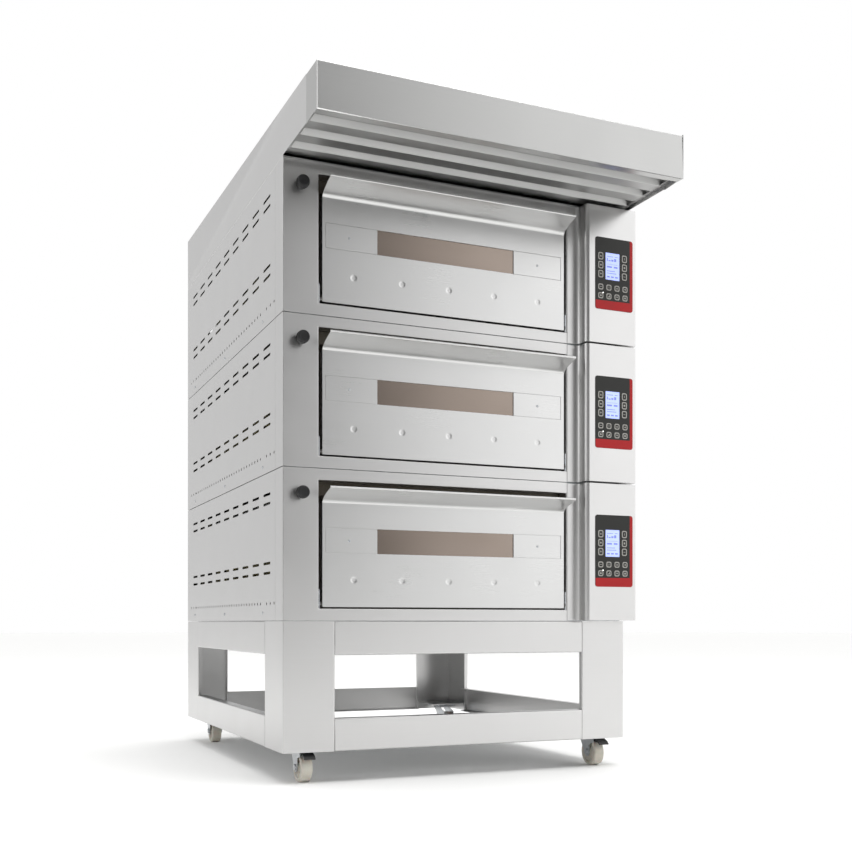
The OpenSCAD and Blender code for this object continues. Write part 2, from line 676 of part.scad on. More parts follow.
module cable_glands() color("#3a3b3d") for (d = DECKS) translate([gland_x, 0, base_z(d) + gland_z])
    difference() {
        union() {
            rod_y(0, y_b - 16, y_b + 8, 0, gland_r + 5);
            translate([0, y_b + 0.1, 0]) rotate([-90, 0, 0]) cylinder(h = 6, r = gland_r + 11, $fn = 6);
            translate([0, y_b + 8, 0]) rotate([-90, 0, 0])
                cylinder(h = 14, r1 = gland_r + 7, r2 = gland_r + 3, $fn = 48);
            translate([0, y_b - 10, 0]) rotate([-90, 0, 0]) cylinder(h = 6, r = gland_r + 11, $fn = 6);
        }
        rod_y(0, y_b - 20, y_b + 30, 0, gland_r);
    }

module vent_knob(d) color(black) translate([knob_x, y_f, base_z(d) + knob_z]) rotate([90, 0, 0])
    rotate_extrude($fn = 64) polygon(concat(
        [[0, 1], [knob_d / 2 - 4, 1], [knob_d / 2 - 3, 4], [knob_d / 2 - 4, 10]],
        [[knob_d / 2 - 2, 14]], arc([knob_d / 2 - 5, knob_out - 5], 5, 0, 90, 6), [[0, knob_out]]));

module vent_rod(d) color(dark_steel) translate([0, 0, base_z(d)]) {
    rod_y(knob_x, y_f - 1, port_y + 30, knob_z, rod_r);
    // gate that slides over the steam port, hung from the rod
    block(knob_x - 3, gate_x + 1, port_y - 12, port_y + 12, knob_z + rod_r - 1, knob_z + rod_r + 1);
    block(gate_x - 1, gate_x + 1, port_y - flue_r - 6, port_y + flue_r + 6,
        port_z - flue_r - 6, knob_z + rod_r + 1);
}

// ---- Door ----

door_side_t = 2;
door_end_z = door_z1 + 4;                 // top of the door's end plates
bush_l = 8;
curve_n = 12;
// The outer face in (Y, Z): flat, then out along a parabola to the lip, whose edge
// turns up and back; t is the distance in from the outer side
function flare_point(u, t) = let (slope = 2 * lip_out * u, n = norm([lip_rise, slope]))
    [y_f - lip_out * u * u + t * lip_rise / n, door_z1 + lip_rise * u + t * slope / n];
function door_line(t) = concat([[y_f + t, door_z0]],
    [for (i = [0:curve_n - 1]) flare_point(i / curve_n, t)],
    [[y_f - lip_out + t, door_lip + 0.73 * t], [y_f - lip_out + lip_edge / 3 + t, door_lip + lip_edge]]);

module door_panel(d) color(steel) translate([0, 0, base_z(d)]) {
    difference() {
        union() {
            // outer sheet with its flared handle
            along_x(door_x0, door_x1, concat(door_line(0), reversed(door_line(door_skin_t))));
            // bottom edge
            block(door_x0, door_x1, y_f, y_f + door_t, door_z0, door_z0 + door_skin_t);
            // ends
            for (x = [door_x0, door_x1 - door_side_t])
                block(x, x + door_side_t, y_f, y_f + door_t, door_z0, door_end_z);
            // plate behind the window band
            block(door_x0, door_x1, y_f + door_skin_t, y_f + door_skin_t + 1.2,
                window_z - 12, window_z + window_h + 12);
            // hinge bushes
            for (x = [door_x0, door_x1 - bush_l])
                block(x, x + bush_l, y_f + 0.5, y_f + 2 * hinge_in, door_z0, door_z0 + 2 * hinge_in);
        }
        // window band, window, dimples and hinge bores
        block(door_x0 + band_inset, door_x1 - band_inset - 2, y_f - 1, y_f + door_skin_t,
            window_z, window_z + window_h);
        block(window_mid - window_w / 2, window_mid + window_w / 2, y_f - 1, y_f + 5,
            window_z, window_z + window_h);
        for (i = [-2:2])
            rod_y(door_mid + i * dimple_pitch, y_f - 1, y_f + 0.7, dimple_z, dimple_d / 2);
        for (x = [door_x0 - 1, door_x1 - 9])
            rod_x(x, x + 10, hinge_y, hinge_z, pin_r + run_gap);
    }
}

module door_glass(d) color("#7a6450", 0.5) translate([0, 0, base_z(d)]) {
    x0 = window_mid - window_w / 2 - 8;
    x1 = window_mid + window_w / 2 + 8;
    for (y = [y_f + door_skin_t + 1.3, y_f + door_t - pane_t - 0.2])
        block(x0, x1, y, y + pane_t, window_z - 8, window_z + window_h + 8);
}

liner_back_t = 1.2;
liner_z1 = max(chamber_z1 + gasket_w + 4, door_end_z);
module door_liner(d) color("#a7a39c") translate([0, 0, base_z(d)]) difference() {
    y = y_f + door_t;
    union() {
        block(door_x0 + 0.3, door_x1 - 0.3, y, y + liner_back_t, door_z0 + door_skin_t, liner_z1);
        // top edge, sloping in to the outer sheet
        along_x(door_x0 + 3, door_x1 - 3, [[y, liner_z1], [y_f + 2, door_end_z],
            [y_f + 2, door_end_z - liner_back_t], [y, liner_z1 - liner_back_t]]);
    }
    block(window_mid - window_w / 2, window_mid + window_w / 2, y - 1, y + 3,
        window_z, window_z + window_h);
}

module door_gaskets() color("#b9b3a2") for (d = DECKS) translate([0, 0, base_z(d)]) difference() {
    block(chamber_x0 - gasket_w, chamber_x1 + gasket_w, y_f + door_t + liner_back_t + 0.4, mouth_y - 0.1,
        chamber_z - gasket_w, chamber_z1 + gasket_w);
    block(chamber_x0, chamber_x1, y_f + door_t, mouth_y + 1, chamber_z, chamber_z1);
}

bracket_t = 3;
module door_hinges() color(dark_steel) for (d = DECKS, side = [0, 1]) translate([0, 0, base_z(d)]) {
    bx = side == 0 ? open_x0 + 0.1 : open_x1 - 0.1 - bracket_t;
    px = side == 0 ? open_x0 + 0.1 : door_x1 - bush_l;
    block(bx, bx + bracket_t, y_f + 2, y_f + jamb_d - 1, open_z0 + 0.1, open_z0 + 48);
    rod_x(px, side == 0 ? door_x0 + bush_l : open_x1 - 0.1, hinge_y, hinge_z, pin_r);
}

// Torsion springs on the hinge pins: one turn, with a leg at each end
spring_r = 7;
spring_wire = 0.7;
spring_step = 1.6;
function spring_path(x0) = concat(
    [[x0, hinge_y + spring_r, hinge_z + 22]],
    [for (i = [0:16]) let (a = 360 * i / 16)
        [x0 + spring_step * i / 16, hinge_y + spring_r * cos(a), hinge_z + spring_r * sin(a)]],
    [[x0 + spring_step, hinge_y + spring_r, hinge_z + 22]]);
module door_springs() color(dark_steel) for (d = DECKS) translate([0, 0, base_z(d)]) {
    wire(spring_path(open_x0 + bracket_t + 2), spring_wire, 6);
    wire(spring_path(door_x1 + spring_wire + 0.3), spring_wire, 6);
}

module screw_dome() rotate_extrude($fn = 24)
    polygon([[0, 0.05], [4.2, 0.05], [3.6, 1.2], [2.2, 2], [0, screw_head]]);
module cover_screws() color(dark_steel) for (d = DECKS, part = [0.11, 0.5, 0.89]) {
    for (s = [[x_l, -90], [x_r, 90]])
        translate([s[0], cover_y0 + cover_len * part, base_z(d) + 21]) rotate([0, s[1], 0]) screw_dome();
    translate([x_l + body_w * part, y_b, base_z(d) + 21]) rotate([-90, 0, 0]) screw_dome();
}

// ---- Hood ----

module hood_shell() color(steel) difference() {
    along_x(x_l, x_r, [[fascia_y + 0.3, hood_z + 0.2], [y_b, hood_z + 0.2],
        [y_b, roof_z(y_b)], [fascia_y + 0.3, roof_z(fascia_y)]]);
    along_x(x_l + hood_t, x_r - hood_t, [[fascia_y - 1, hood_z + hood_t + 0.2],
        [y_b - hood_t, hood_z + hood_t + 0.2], [y_b - hood_t, roof_z(y_b) - hood_t],
        [fascia_y - 1, roof_z(fascia_y - 1) - hood_t]]);
    // the underside is open in front of the decks
    block(x_l + hood_t, x_r - hood_t, fascia_y - 1, y_f, hood_z - 5, hood_z + 10);
    rod_z(x_mid, fan_y, hood_z + 20, roof_z(y_b) + 10, duct_r - 1.5);
}

module hood_fascia() color(steel) {
    z0 = fascia_z0;
    difference() {
        along_x(x_l, x_r, [[nose_y, z0], [fascia_y, z0], [fascia_y, roof_z(fascia_y)],
            [nose_y, fascia_z1]]);
        along_x(x_l + hood_t, x_r - hood_t, [[nose_y + hood_t, z0 + hood_t],
            [fascia_y + 1, z0 + hood_t], [fascia_y + 1, roof_z(fascia_y + 1) - hood_t],
            [nose_y + hood_t, fascia_z1 - hood_t]]);
        // underside is open behind the turned-in lower edge
        block(x_l + hood_t, x_r - hood_t, nose_y + fascia_flange, fascia_y + 1, z0 - 1, z0 + 5);
    }
}

fascia_flange = 22;                       // turned-in lower edge of the front panel
louvre_z = fascia_z0 + louvre_up;
slat_w = louvre_pitch - louvre_gap;
slat_ys = [for (i = [0:2]) y_f - 14 - louvre_pitch * i];
strip_w = 10;
module hood_louvres() color("#a9abab") {
    x0 = x_l + hood_t + 0.3;
    x1 = x_r - hood_t - 0.3;
    // blades, each with its front edge turned up
    for (y = slat_ys) along_x(x0, x1, [
        [y - slat_w / 2, louvre_z], [y + slat_w / 2, louvre_z], [y + slat_w / 2, louvre_z + 1.2],
        [y - slat_w / 2 + 1.2, louvre_z + 1.2], [y - slat_w / 2 - 13, louvre_z + 26],
        [y - slat_w / 2 - 14.2, louvre_z + 25.5]]);
    // front blade, and a strip along each end
    block(x0, x1, nose_y + fascia_flange, slat_ys[2] - slat_w / 2 - louvre_gap, louvre_z, louvre_z + 1.2);
    for (x = [x0, x1 - strip_w])
        block(x, x + strip_w, nose_y + fascia_flange, slat_ys[0] + slat_w / 2, louvre_z, louvre_z + 1.2);
}

fan_z0 = hood_z + 62;
fan_z1 = roof_z(fan_y) - 8;
duct_z0 = roof_z(fan_y + duct_r) + 1;     // the collar clears the sloping roof
module fan_housing() color(dark_steel) {
    // scroll housing with an inlet below and the duct spigot above
    difference() {
        union() {
            rod_z(x_mid, fan_y, fan_z0, fan_z1 - 2, fan_r + 22);
            rod_z(x_mid, fan_y, fan_z1 - 4, duct_z0 + 1, duct_r - 2);
            rod_z(x_mid, fan_y, duct_z0, duct_z0 + duct_h, duct_r);
            // feet that stand on the hood's floor
            for (a = [45:90:315]) rod_z(x_mid + (fan_r + 12) * cos(a), fan_y + (fan_r + 12) * sin(a),
                hood_z + hood_t + 0.4, fan_z0 + 1, 7);
        }
        rod_z(x_mid, fan_y, fan_z0 + 2, fan_z1 - 4, fan_r + 20);
        rod_z(x_mid, fan_y, fan_z0 - 1, fan_z0 + 5, fan_r - 20);
        rod_z(x_mid, fan_y, fan_z1 - 10, duct_z0 + duct_h + 1, duct_r - 3.5);
    }
}
module fan_motor() color(black) translate([x_mid, fan_y, 0]) {
    rod_z(0, 0, hood_z + hood_t + 0.4, fan_z0 - 6, 45);
    rod_z(0, 0, fan_z0 - 6.5, fan_z0 + 30, 5);
}
module fan_impeller() color(dark_steel) translate([x_mid, fan_y, 0]) {
    blades = 16;
    difference() {
        union() {
            rod_z(0, 0, fan_z0 + 8, fan_z0 + 10, fan_r);
            rod_z(0, 0, fan_z0 + 8, fan_z0 + 28, 14);
            for (i = [0:blades - 1]) rotate([0, 0, i * 360 / blades])
                translate([fan_r - 14, 0, fan_z0 + 9]) rotate([0, 0, 35])
                    translate([-12, -0.8, 0]) cube([24, 1.6, fan_z1 - fan_z0 - 20]);
        }
        rod_z(0, 0, fan_z0 + 7, fan_z0 + 40, 5 + run_gap);
    }
}

// ---- Output ----

stand_legs();
stand_rails();
castor_plates();
for (c = [0:3]) {
    castor_fork(c);
    castor_wheel(c);
}
brake_pedal(0);  // brake_pedal_front_left
brake_pedal(1);  // brake_pedal_front_right
chassis();
left_covers();
right_covers();
rear_covers();
insulation();
hearth_stones();
heating_elements();
lamps();
keypads();
displays();
electrical_gear();
steam_flues();
cable_glands();
door_gaskets();
door_hinges();
door_springs();
cover_screws();
for (d = DECKS) {
    front_frame(d);
    control_box(d);
    chamber(d);
    door_panel(d);
    door_glass(d);
    door_liner(d);
    vent_knob(d);
    vent_rod(d);
}
hood_shell();
hood_fascia();
hood_louvres();
fan_housing();
fan_impeller();
fan_motor();
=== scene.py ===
"""Three-deck baking oven on a castor stand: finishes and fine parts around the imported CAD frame."""

import json
import math

import bmesh
import bpy
from bpy.props import FloatProperty, FloatVectorProperty, IntProperty, PointerProperty
from bpy.types import Operator, Panel, PropertyGroup
from mathutils import Matrix, Vector
from mathutils.geometry import delaunay_2d_cdt

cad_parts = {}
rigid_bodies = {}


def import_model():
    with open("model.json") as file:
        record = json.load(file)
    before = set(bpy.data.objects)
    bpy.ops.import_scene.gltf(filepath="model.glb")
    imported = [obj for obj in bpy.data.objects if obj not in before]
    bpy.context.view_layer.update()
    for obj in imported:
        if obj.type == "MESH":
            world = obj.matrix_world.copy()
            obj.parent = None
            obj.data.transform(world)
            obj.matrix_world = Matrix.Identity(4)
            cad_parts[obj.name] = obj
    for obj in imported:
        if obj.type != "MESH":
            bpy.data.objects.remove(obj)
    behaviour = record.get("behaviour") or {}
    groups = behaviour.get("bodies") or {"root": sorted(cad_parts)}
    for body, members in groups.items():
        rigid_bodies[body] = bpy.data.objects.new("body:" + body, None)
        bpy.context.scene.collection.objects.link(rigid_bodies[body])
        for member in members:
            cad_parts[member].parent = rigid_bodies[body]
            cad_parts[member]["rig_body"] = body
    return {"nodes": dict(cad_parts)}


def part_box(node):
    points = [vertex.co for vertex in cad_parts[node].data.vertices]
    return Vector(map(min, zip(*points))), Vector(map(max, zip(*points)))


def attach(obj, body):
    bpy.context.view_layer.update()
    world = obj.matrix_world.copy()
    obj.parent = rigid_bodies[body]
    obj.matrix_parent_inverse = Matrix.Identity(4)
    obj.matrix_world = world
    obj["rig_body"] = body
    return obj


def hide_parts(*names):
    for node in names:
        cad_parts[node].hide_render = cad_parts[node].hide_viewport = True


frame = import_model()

bl_info = {
    "name": "Deck oven",
    "version": (1, 0, 0),
    "blender": (4, 5, 0),
    "location": "3D View > Sidebar > Deck oven",
    "description": "Builds the visible parts and finishes of a three-deck baking oven",
    "category": "Object",
}

NODES = frame["nodes"]
DECKS = (1, 2, 3)
CORNERS = ("front_left", "front_right", "rear_left", "rear_right")
MM = 1000.0


def box_mm(node):
    """Lowest and highest corner of a CAD node, in millimetres."""
    lo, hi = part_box(node)
    return lo * MM, hi * MM


# Places shared by the pieces, in millimetres in the row frame
STAND_LO, STAND_HI = box_mm("stand_legs")
X_L, Y_F, X_R, Y_B = STAND_LO.x, STAND_LO.y, STAND_HI.x, STAND_HI.y
X_MID = (X_L + X_R) / 2
BASE = {d: box_mm(f"front_frame_{d}")[0].z - 1 for d in DECKS}
DECK_H = BASE[2] - BASE[1]
DOOR_X0, DOOR_X1 = box_mm("door_panel_1")[0].x, box_mm("door_panel_1")[1].x
DOOR_MID = (DOOR_X0 + DOOR_X1) / 2
GLASS_LO, GLASS_HI = box_mm("door_glass_1")
WINDOW_X0, WINDOW_X1 = GLASS_LO.x + 8, GLASS_HI.x - 8
WINDOW_Z0, WINDOW_Z1 = GLASS_LO.z + 8 - BASE[1], GLASS_HI.z - 8 - BASE[1]
BOX_LO, BOX_HI = box_mm("control_box_1")
PAD_LO, PAD_HI = box_mm("keypads")
SCREEN_LO, SCREEN_HI = box_mm("displays")
FASCIA_LO, FASCIA_HI = box_mm("hood_fascia")
SHELL_LO, SHELL_HI = box_mm("hood_shell")
LOUVRE_LO, LOUVRE_HI = box_mm("hood_louvres")


# ---- Sizes and colours that a user would change ----


def size(name, description, default, **extra):
    return FloatProperty(
        name=name, description=description, default=default, unit="LENGTH", subtype="DISTANCE", **extra
    )


def colour(name, description, default):
    return FloatVectorProperty(
        name=name, description=description, default=linear(default)[:3], subtype="COLOR", size=3, min=0, max=1
    )


def linear(code):
    """Turns an sRGB hex colour into the linear light that the shaders take."""
    parts = [int(code[i : i + 2], 16) / 255 for i in (1, 3, 5)]
    return (*[p / 12.92 if p <= 0.04045 else ((p + 0.055) / 1.055) ** 2.4 for p in parts], 1.0)


class SheetSizes(PropertyGroup):
    bend: size("Bend radius", "Outer radius of the folds in the stainless sheets", 0.0025)
    skin: size("Skin", "Thickness of the body's sheets", 0.0015)
    stand: size("Stand sheet", "Thickness of the stand's sheets", 0.0025)
    leg_w: size("Leg front", "Width of a leg's front face", 0.135)
    leg_d: size("Leg side", "Width of a leg's side face", 0.170)
    rail_low: size("Lower rail", "Height of the lower rails", 0.082)
    rail_top: size("Upper rail", "Height of the upper rails", 0.085)


class DoorSizes(PropertyGroup):
    face_h: size("Flat face", "Height of the door's flat outer face", 0.259)
    lip_rise: size("Lip rise", "Height of the flare above the flat face", 0.030)
    lip_edge: size("Lip edge", "Height of the flare's turned-up edge", 0.006)
    dimple_d: size("Dimple", "Diameter of the pressed dimples", 0.020)
    dimple_depth: size("Dimple depth", "Depth of the pressed dimples", 0.0005)
    dimple_pitch: size("Dimple pitch", "Distance between the dimples", 0.1315)
    dimple_z: size("Dimple height", "Height of the dimples above the deck's base", 0.103)
    dimples: IntProperty(name="Dimples", description="Number of dimples in a door", default=5, min=1)
    glass: colour("Window", "Colour that the coated window glass reflects", "#968a81")


class ControlSizes(PropertyGroup):
    key: size("Key", "Width of a square key", 0.016)
    film: colour("Film", "Colour of the keypad's film", "#252523")
    band: colour("Band", "Colour of the band printed round the film", "#a80b11")
    print_grey: colour("Key print", "Colour of the keys printed on the film", "#a5a39e")
    screen: colour("Display", "Colour of the lit display", "#a9b8ff")


class VentSizes(PropertyGroup):
    knob_d: size("Knob", "Diameter of the vent knob", 0.032)
    ribs: IntProperty(name="Grip ribs", description="Number of ribs round a vent knob", default=30, min=3)


class HoodSizes(PropertyGroup):
    slat: size("Slat", "Width of a louvre blade's flat part", 0.039)
    pitch: size("Louvre pitch", "Distance between the louvre blades", 0.077)
    flange: size("Flange", "Depth of the front panel's turned-in lower edge", 0.022)
    duct_d: size("Duct", "Diameter of the exhaust spigot", 0.150)
    fan_d: size("Impeller", "Diameter of the fan's impeller", 0.200)
    blades: IntProperty(name="Blades", description="Number of impeller blades", default=16, min=3)


class CastorSizes(PropertyGroup):
    wheel_d: size("Wheel", "Diameter of a castor wheel", 0.075)
    wheel_w: size("Tread", "Width of a castor wheel", 0.030)


class StageSizes(PropertyGroup):
    lens: FloatProperty(name="Lens", description="Focal length of the camera in mm", default=46.54, min=1)
    floor: colour("Floor", "Colour of the floor", "#fdfdfc")
    light: FloatProperty(
        name="Studio light", description="Strength of the surrounding light", default=1.0, min=0
    )


def settings(name):
    return getattr(bpy.context.scene, "oven_" + name)


# ---- Node building ----


def add(tree, kind, inputs=None, **options):
    """Adds a node with its options; each input gets a value or another node's output."""
    node = tree.nodes.new(kind)
    for key, value in options.items():
        setattr(node, key, value)
    for key, value in (inputs or {}).items():
        if isinstance(value, bpy.types.NodeSocket):
            tree.links.new(value, node.inputs[key])
        else:
            node.inputs[key].default_value = value
    return node


FINISHES = {}


def finish(name, surface):
    """A finish's material, made once: surface(tree) returns the shader's output."""
    if name not in FINISHES:
        mat = bpy.data.materials.new(name)
        mat.use_nodes = True
        tree = mat.node_tree
        tree.nodes.clear()
        add(tree, "ShaderNodeOutputMaterial", {"Surface": surface(tree)})
        FINISHES[name] = mat
    return FINISHES[name]


def object_place(tree, scale=(1, 1, 1)):
    """Object coordinates stretched by a scale, in marks to the metre along each axis."""
    where = add(tree, "ShaderNodeTexCoord").outputs["Object"]
    return add(tree, "ShaderNodeMapping", {"Vector": where, "Scale": scale}).outputs["Vector"]


def shaded(tree, height, strength, distance, **inputs):
    """A surface's shader with relief from a height; _ stands for a space in an input's name."""
    relief = add(
        tree, "ShaderNodeBump", {"Strength": strength, "Distance": distance, "Height": height}
    ).outputs[0]
    named = {key.replace("_", " "): value for key, value in inputs.items()}
    return add(tree, "ShaderNodeBsdfPrincipled", {"Normal": relief, **named}).outputs[0]


def brushed(name, hexes, rough=(0.28, 0.33), wave=0.0006, level=False):
    """Stainless steel 1.4301 sheet, satin ground with a belt: fine level lines, soft long
    reflections, and a sheet that is never quite flat. Real lines are 0.05 mm apart; they are
    drawn 1.7 mm apart so that they show. level runs them along X on every face."""

    def surface(tree):
        up = add(tree, "ShaderNodeSeparateXYZ", {0: add(tree, "ShaderNodeNewGeometry").outputs["Normal"]})
        lid = add(tree, "ShaderNodeMath", {0: up.outputs["Z"]}, operation="ABSOLUTE").outputs[0]
        lid = add(tree, "ShaderNodeMath", {0: lid, 1: 0.7}, operation="GREATER_THAN").outputs[0]
        walls = object_place(tree, (4, 4, 600))
        lids = object_place(tree, (600, 4, 4))
        place = add(tree, "ShaderNodeMix", {0: lid, 4: walls, 5: lids}, data_type="VECTOR").outputs[1]
        if level:
            place = object_place(tree, (4, 600, 600))
        lines = add(
            tree, "ShaderNodeTexNoise", {"Vector": place, "Scale": 1.0, "Detail": 3.0, "Roughness": 0.65}
        ).outputs[0]
        # hand and cloth marks: patches about 12 cm across
        smears = add(
            tree, "ShaderNodeTexNoise", {"Vector": object_place(tree), "Scale": 8.0, "Detail": 3.0}
        ).outputs[0]
        tone = add(
            tree,
            "ShaderNodeMix",
            {0: lines, 6: linear(hexes[0]), 7: linear(hexes[1])},
            data_type="RGBA",
        ).outputs[2]
        mixed = add(tree, "ShaderNodeMath", {0: lines, 1: smears}, operation="ADD").outputs[0]
        gloss = add(
            tree,
            "ShaderNodeMapRange",
            {"Value": mixed, "From Min": 0.7, "From Max": 1.3, "To Min": rough[0], "To Max": rough[1]},
        ).outputs[0]
        edge = add(tree, "ShaderNodeBevel", {"Radius": 0.0008}, samples=4).outputs[0]
        waves = add(
            tree, "ShaderNodeTexNoise", {"Vector": object_place(tree), "Scale": 2.6, "Detail": 1.0}
        ).outputs[0]
        sheet = add(
            tree, "ShaderNodeBump", {"Strength": 1.0, "Distance": wave, "Height": waves, "Normal": edge}
        ).outputs[0]
        ground = add(
            tree, "ShaderNodeBump", {"Strength": 0.12, "Distance": 0.00004, "Height": lines, "Normal": sheet}
        ).outputs[0]
        return add(
            tree,
            "ShaderNodeBsdfPrincipled",
            {"Base Color": tone, "Metallic": 1.0, "Roughness": gloss, "Normal": ground},
        ).outputs[0]

    return finish(name, surface)


def speckled(name, hexes, grain, rough, metallic=0.0, bump=0.00005, edge=0.0005, **shader):
    """Anything with an even mottle: two tones in patches of a real size, with the same patches
    in gloss and relief. grain is the patch size in metres."""

    def surface(tree):
        patch = add(
            tree,
            "ShaderNodeTexNoise",
            {"Vector": object_place(tree), "Scale": 1.0 / grain, "Detail": 4.0, "Roughness": 0.6},
        ).outputs[0]
        wide = add(
            tree, "ShaderNodeTexNoise", {"Vector": object_place(tree), "Scale": 0.12 / grain, "Detail": 2.0}
        ).outputs[0]
        both = add(tree, "ShaderNodeMath", {0: patch, 1: wide}, operation="ADD").outputs[0]
        level = add(
            tree, "ShaderNodeMapRange", {"Value": both, "From Min": 0.7, "From Max": 1.3}
        ).outputs[0]
        tone = add(
            tree, "ShaderNodeMix", {0: level, 6: linear(hexes[0]), 7: linear(hexes[1])}, data_type="RGBA"
        ).outputs[2]
        gloss = add(
            tree, "ShaderNodeMapRange", {"Value": level, "To Min": rough[0], "To Max": rough[1]}
        ).outputs[0]
        soft = add(tree, "ShaderNodeBevel", {"Radius": edge}, samples=4).outputs[0]
        relief = add(
            tree, "ShaderNodeBump", {"Strength": 0.6, "Distance": bump, "Height": patch, "Normal": soft}
        ).outputs[0]
        inputs = {"Base Color": tone, "Metallic": metallic, "Roughness": gloss, "Normal": relief}
        inputs.update({key.replace("_", " "): value for key, value in shader.items()})
        return add(tree, "ShaderNodeBsdfPrincipled", inputs).outputs[0]

    return finish(name, surface)


def body_stainless():
    return brushed("brushed_stainless_body", ("#c5c5c4", "#cac9c9"))


def door_stainless():
    return brushed("brushed_stainless_door", ("#c8c8c7", "#cccccc"), rough=(0.27, 0.31), level=True)


def fascia_stainless_painted_shade():
    # rougher than the doors' steel; its darker grey is painted shade on the hood's front panel
    return brushed("brushed_stainless_fascia_painted_shade", ("#b0b0af", "#b4b4b3"), rough=(0.29, 0.34), level=True)


def hood_inner_stainless_painted_shade():
    # the hood's underside gets a darker, rougher copy of the steel: its darker grey is painted shade under the hood
    return brushed("brushed_stainless_hood_inside_painted_shade", ("#a6a6a5", "#b0b0af"), rough=(0.38, 0.50), level=True)


def bright_zinc():
    # zinc-plated pressed steel: bluish bright metal with a faint passivation bloom
    return speckled("bright_zinc_plate", ("#a9adb2", "#c3c5c6"), 0.006, (0.24, 0.40), metallic=1.0)


def galvanised():
    """Hot-dip galvanised sheet: spangle crystals 12 mm across, each with its own grey and gloss."""

    def surface(tree):
        spangle = add(
            tree, "ShaderNodeTexVoronoi", {"Vector": object_place(tree), "Scale": 80.0}, feature="F1"
        ).outputs["Color"]
        tint = add(tree, "ShaderNodeSeparateColor", {0: spangle}).outputs[0]
        tone = add(
            tree, "ShaderNodeMix", {0: tint, 6: linear("#8e9294"), 7: linear("#b4b7b8")}, data_type="RGBA"
        ).outputs[2]
        gloss = add(
            tree, "ShaderNodeMapRange", {"Value": tint, "To Min": 0.32, "To Max": 0.52}
        ).outputs[0]
        return shaded(tree, tint, 0.3, 0.00004, Base_Color=tone, Metallic=1.0, Roughness=gloss)

    return finish("galvanised_sheet", surface)


def spring_wire():
    # patented drawn spring wire: dark oiled steel with draw lines
    return speckled(
        "drawn_spring_wire", ("#5c5a57", "#7c7a76"), 0.0008, (0.25, 0.38), metallic=1.0, edge=0.0001
    )


def wheel_nylon():
    # injection-moulded polyamide: milky, slightly yellow, with light passing into the edges
    return speckled(
        "moulded_nylon", ("#bdb8ab", "#cfcabf"), 0.02, (0.34, 0.46), bump=0.00008,
        Subsurface_Weight=0.15, Subsurface_Scale=0.004,
    )


def moulded_black():
    # spark-eroded mould, black ABS: 0.9 mm grain, dull sheen on the rims
    return speckled(
        "moulded_black_abs", ("#121213", "#1d1d1e"), 0.0009, (0.38, 0.5), bump=0.00006,
        Specular_IOR_Level=0.35,
    )


def heat_tinted():
    """Aluminised steel that has been baked: grey, with straw and brown bloom in wide patches."""

    def surface(tree):
        patch = add(
            tree, "ShaderNodeTexNoise", {"Vector": object_place(tree), "Scale": 5.0, "Detail": 4.0}
        ).outputs[0]
        fine = add(
            tree, "ShaderNodeTexNoise", {"Vector": object_place(tree), "Scale": 220.0, "Detail": 3.0}
        ).outputs[0]
        straw = add(
            tree, "ShaderNodeMix", {0: patch, 6: linear("#4b4843"), 7: linear("#54483a")}, data_type="RGBA"
        ).outputs[2]
        tone = add(
            tree, "ShaderNodeMix", {0: fine, 6: straw, 7: linear("#625f59")}, data_type="RGBA"
        ).outputs[2]
        gloss = add(
            tree, "ShaderNodeMapRange", {"Value": patch, "To Min": 0.42, "To Max": 0.62}
        ).outputs[0]
        return shaded(tree, fine, 0.4, 0.00005, Base_Color=tone, Metallic=1.0, Roughness=gloss)

    return finish("aluminised_steel_heat_tinted", surface)


def fibrous(name, hexes, length, width, rough, bump):
    """Felted or braided fibre: tangled strands of a real length and width, in metres."""

    def surface(tree):
        strands = [
            add(
                tree,
                "ShaderNodeTexNoise",
                {"Vector": object_place(tree, scale), "Scale": 1.0, "Detail": 3.0, "Distortion": 1.5},
            ).outputs[0]
            for scale in ((1 / length, 1 / length, 1 / width), (1 / width, 1 / length, 1 / length))
        ]
        tangle = add(tree, "ShaderNodeMath", {0: strands[0], 1: strands[1]}, operation="MAXIMUM").outputs[0]
        tone = add(
            tree, "ShaderNodeMix", {0: tangle, 6: linear(hexes[0]), 7: linear(hexes[1])}, data_type="RGBA"
        ).outputs[2]
        return shaded(tree, tangle, 0.8, bump, Base_Color=tone, Roughness=rough, Sheen_Weight=0.2)

    return finish(name, surface)


def gasket_braid():
    # woven glass-fibre gasket: off-white strands 2 mm wide, dry and dull
    return fibrous("woven_glass_fibre", ("#a39d8c", "#cbc5b3"), 0.012, 0.002, 0.9, 0.0004)


def rock_wool():
    # mineral wool batt: ochre-green matted fibre
    return fibrous("mineral_wool_batt", ("#a2965c", "#cdc38e"), 0.03, 0.003, 0.95, 0.0015)


def hearth_stone():
    # fired cordierite slab: sandy beige with 2 mm grog and a dry face
    return speckled("fired_cordierite", ("#b3a184", "#d3c6ab"), 0.002, (0.8, 0.95), bump=0.0003, edge=0.001)


def element_sheath():
    # nickel-alloy sheath after its first firing: green-black oxide
    return speckled("oxidised_alloy_sheath", ("#3b3935", "#575249"), 0.003, (0.45, 0.62), metallic=0.6)


def lamp_glass():
    """Pressed borosilicate lamp cover: clear, slightly rippled."""

    def surface(tree):
        ripple = add(
            tree, "ShaderNodeTexNoise", {"Vector": object_place(tree), "Scale": 60.0, "Detail": 1.0}
        ).outputs[0]
        return shaded(
            tree, ripple, 0.4, 0.0003,
            Base_Color=linear("#f2ecd8"), Roughness=0.06, IOR=1.47, Transmission_Weight=0.9,
        )

    return finish("pressed_borosilicate_glass", surface)


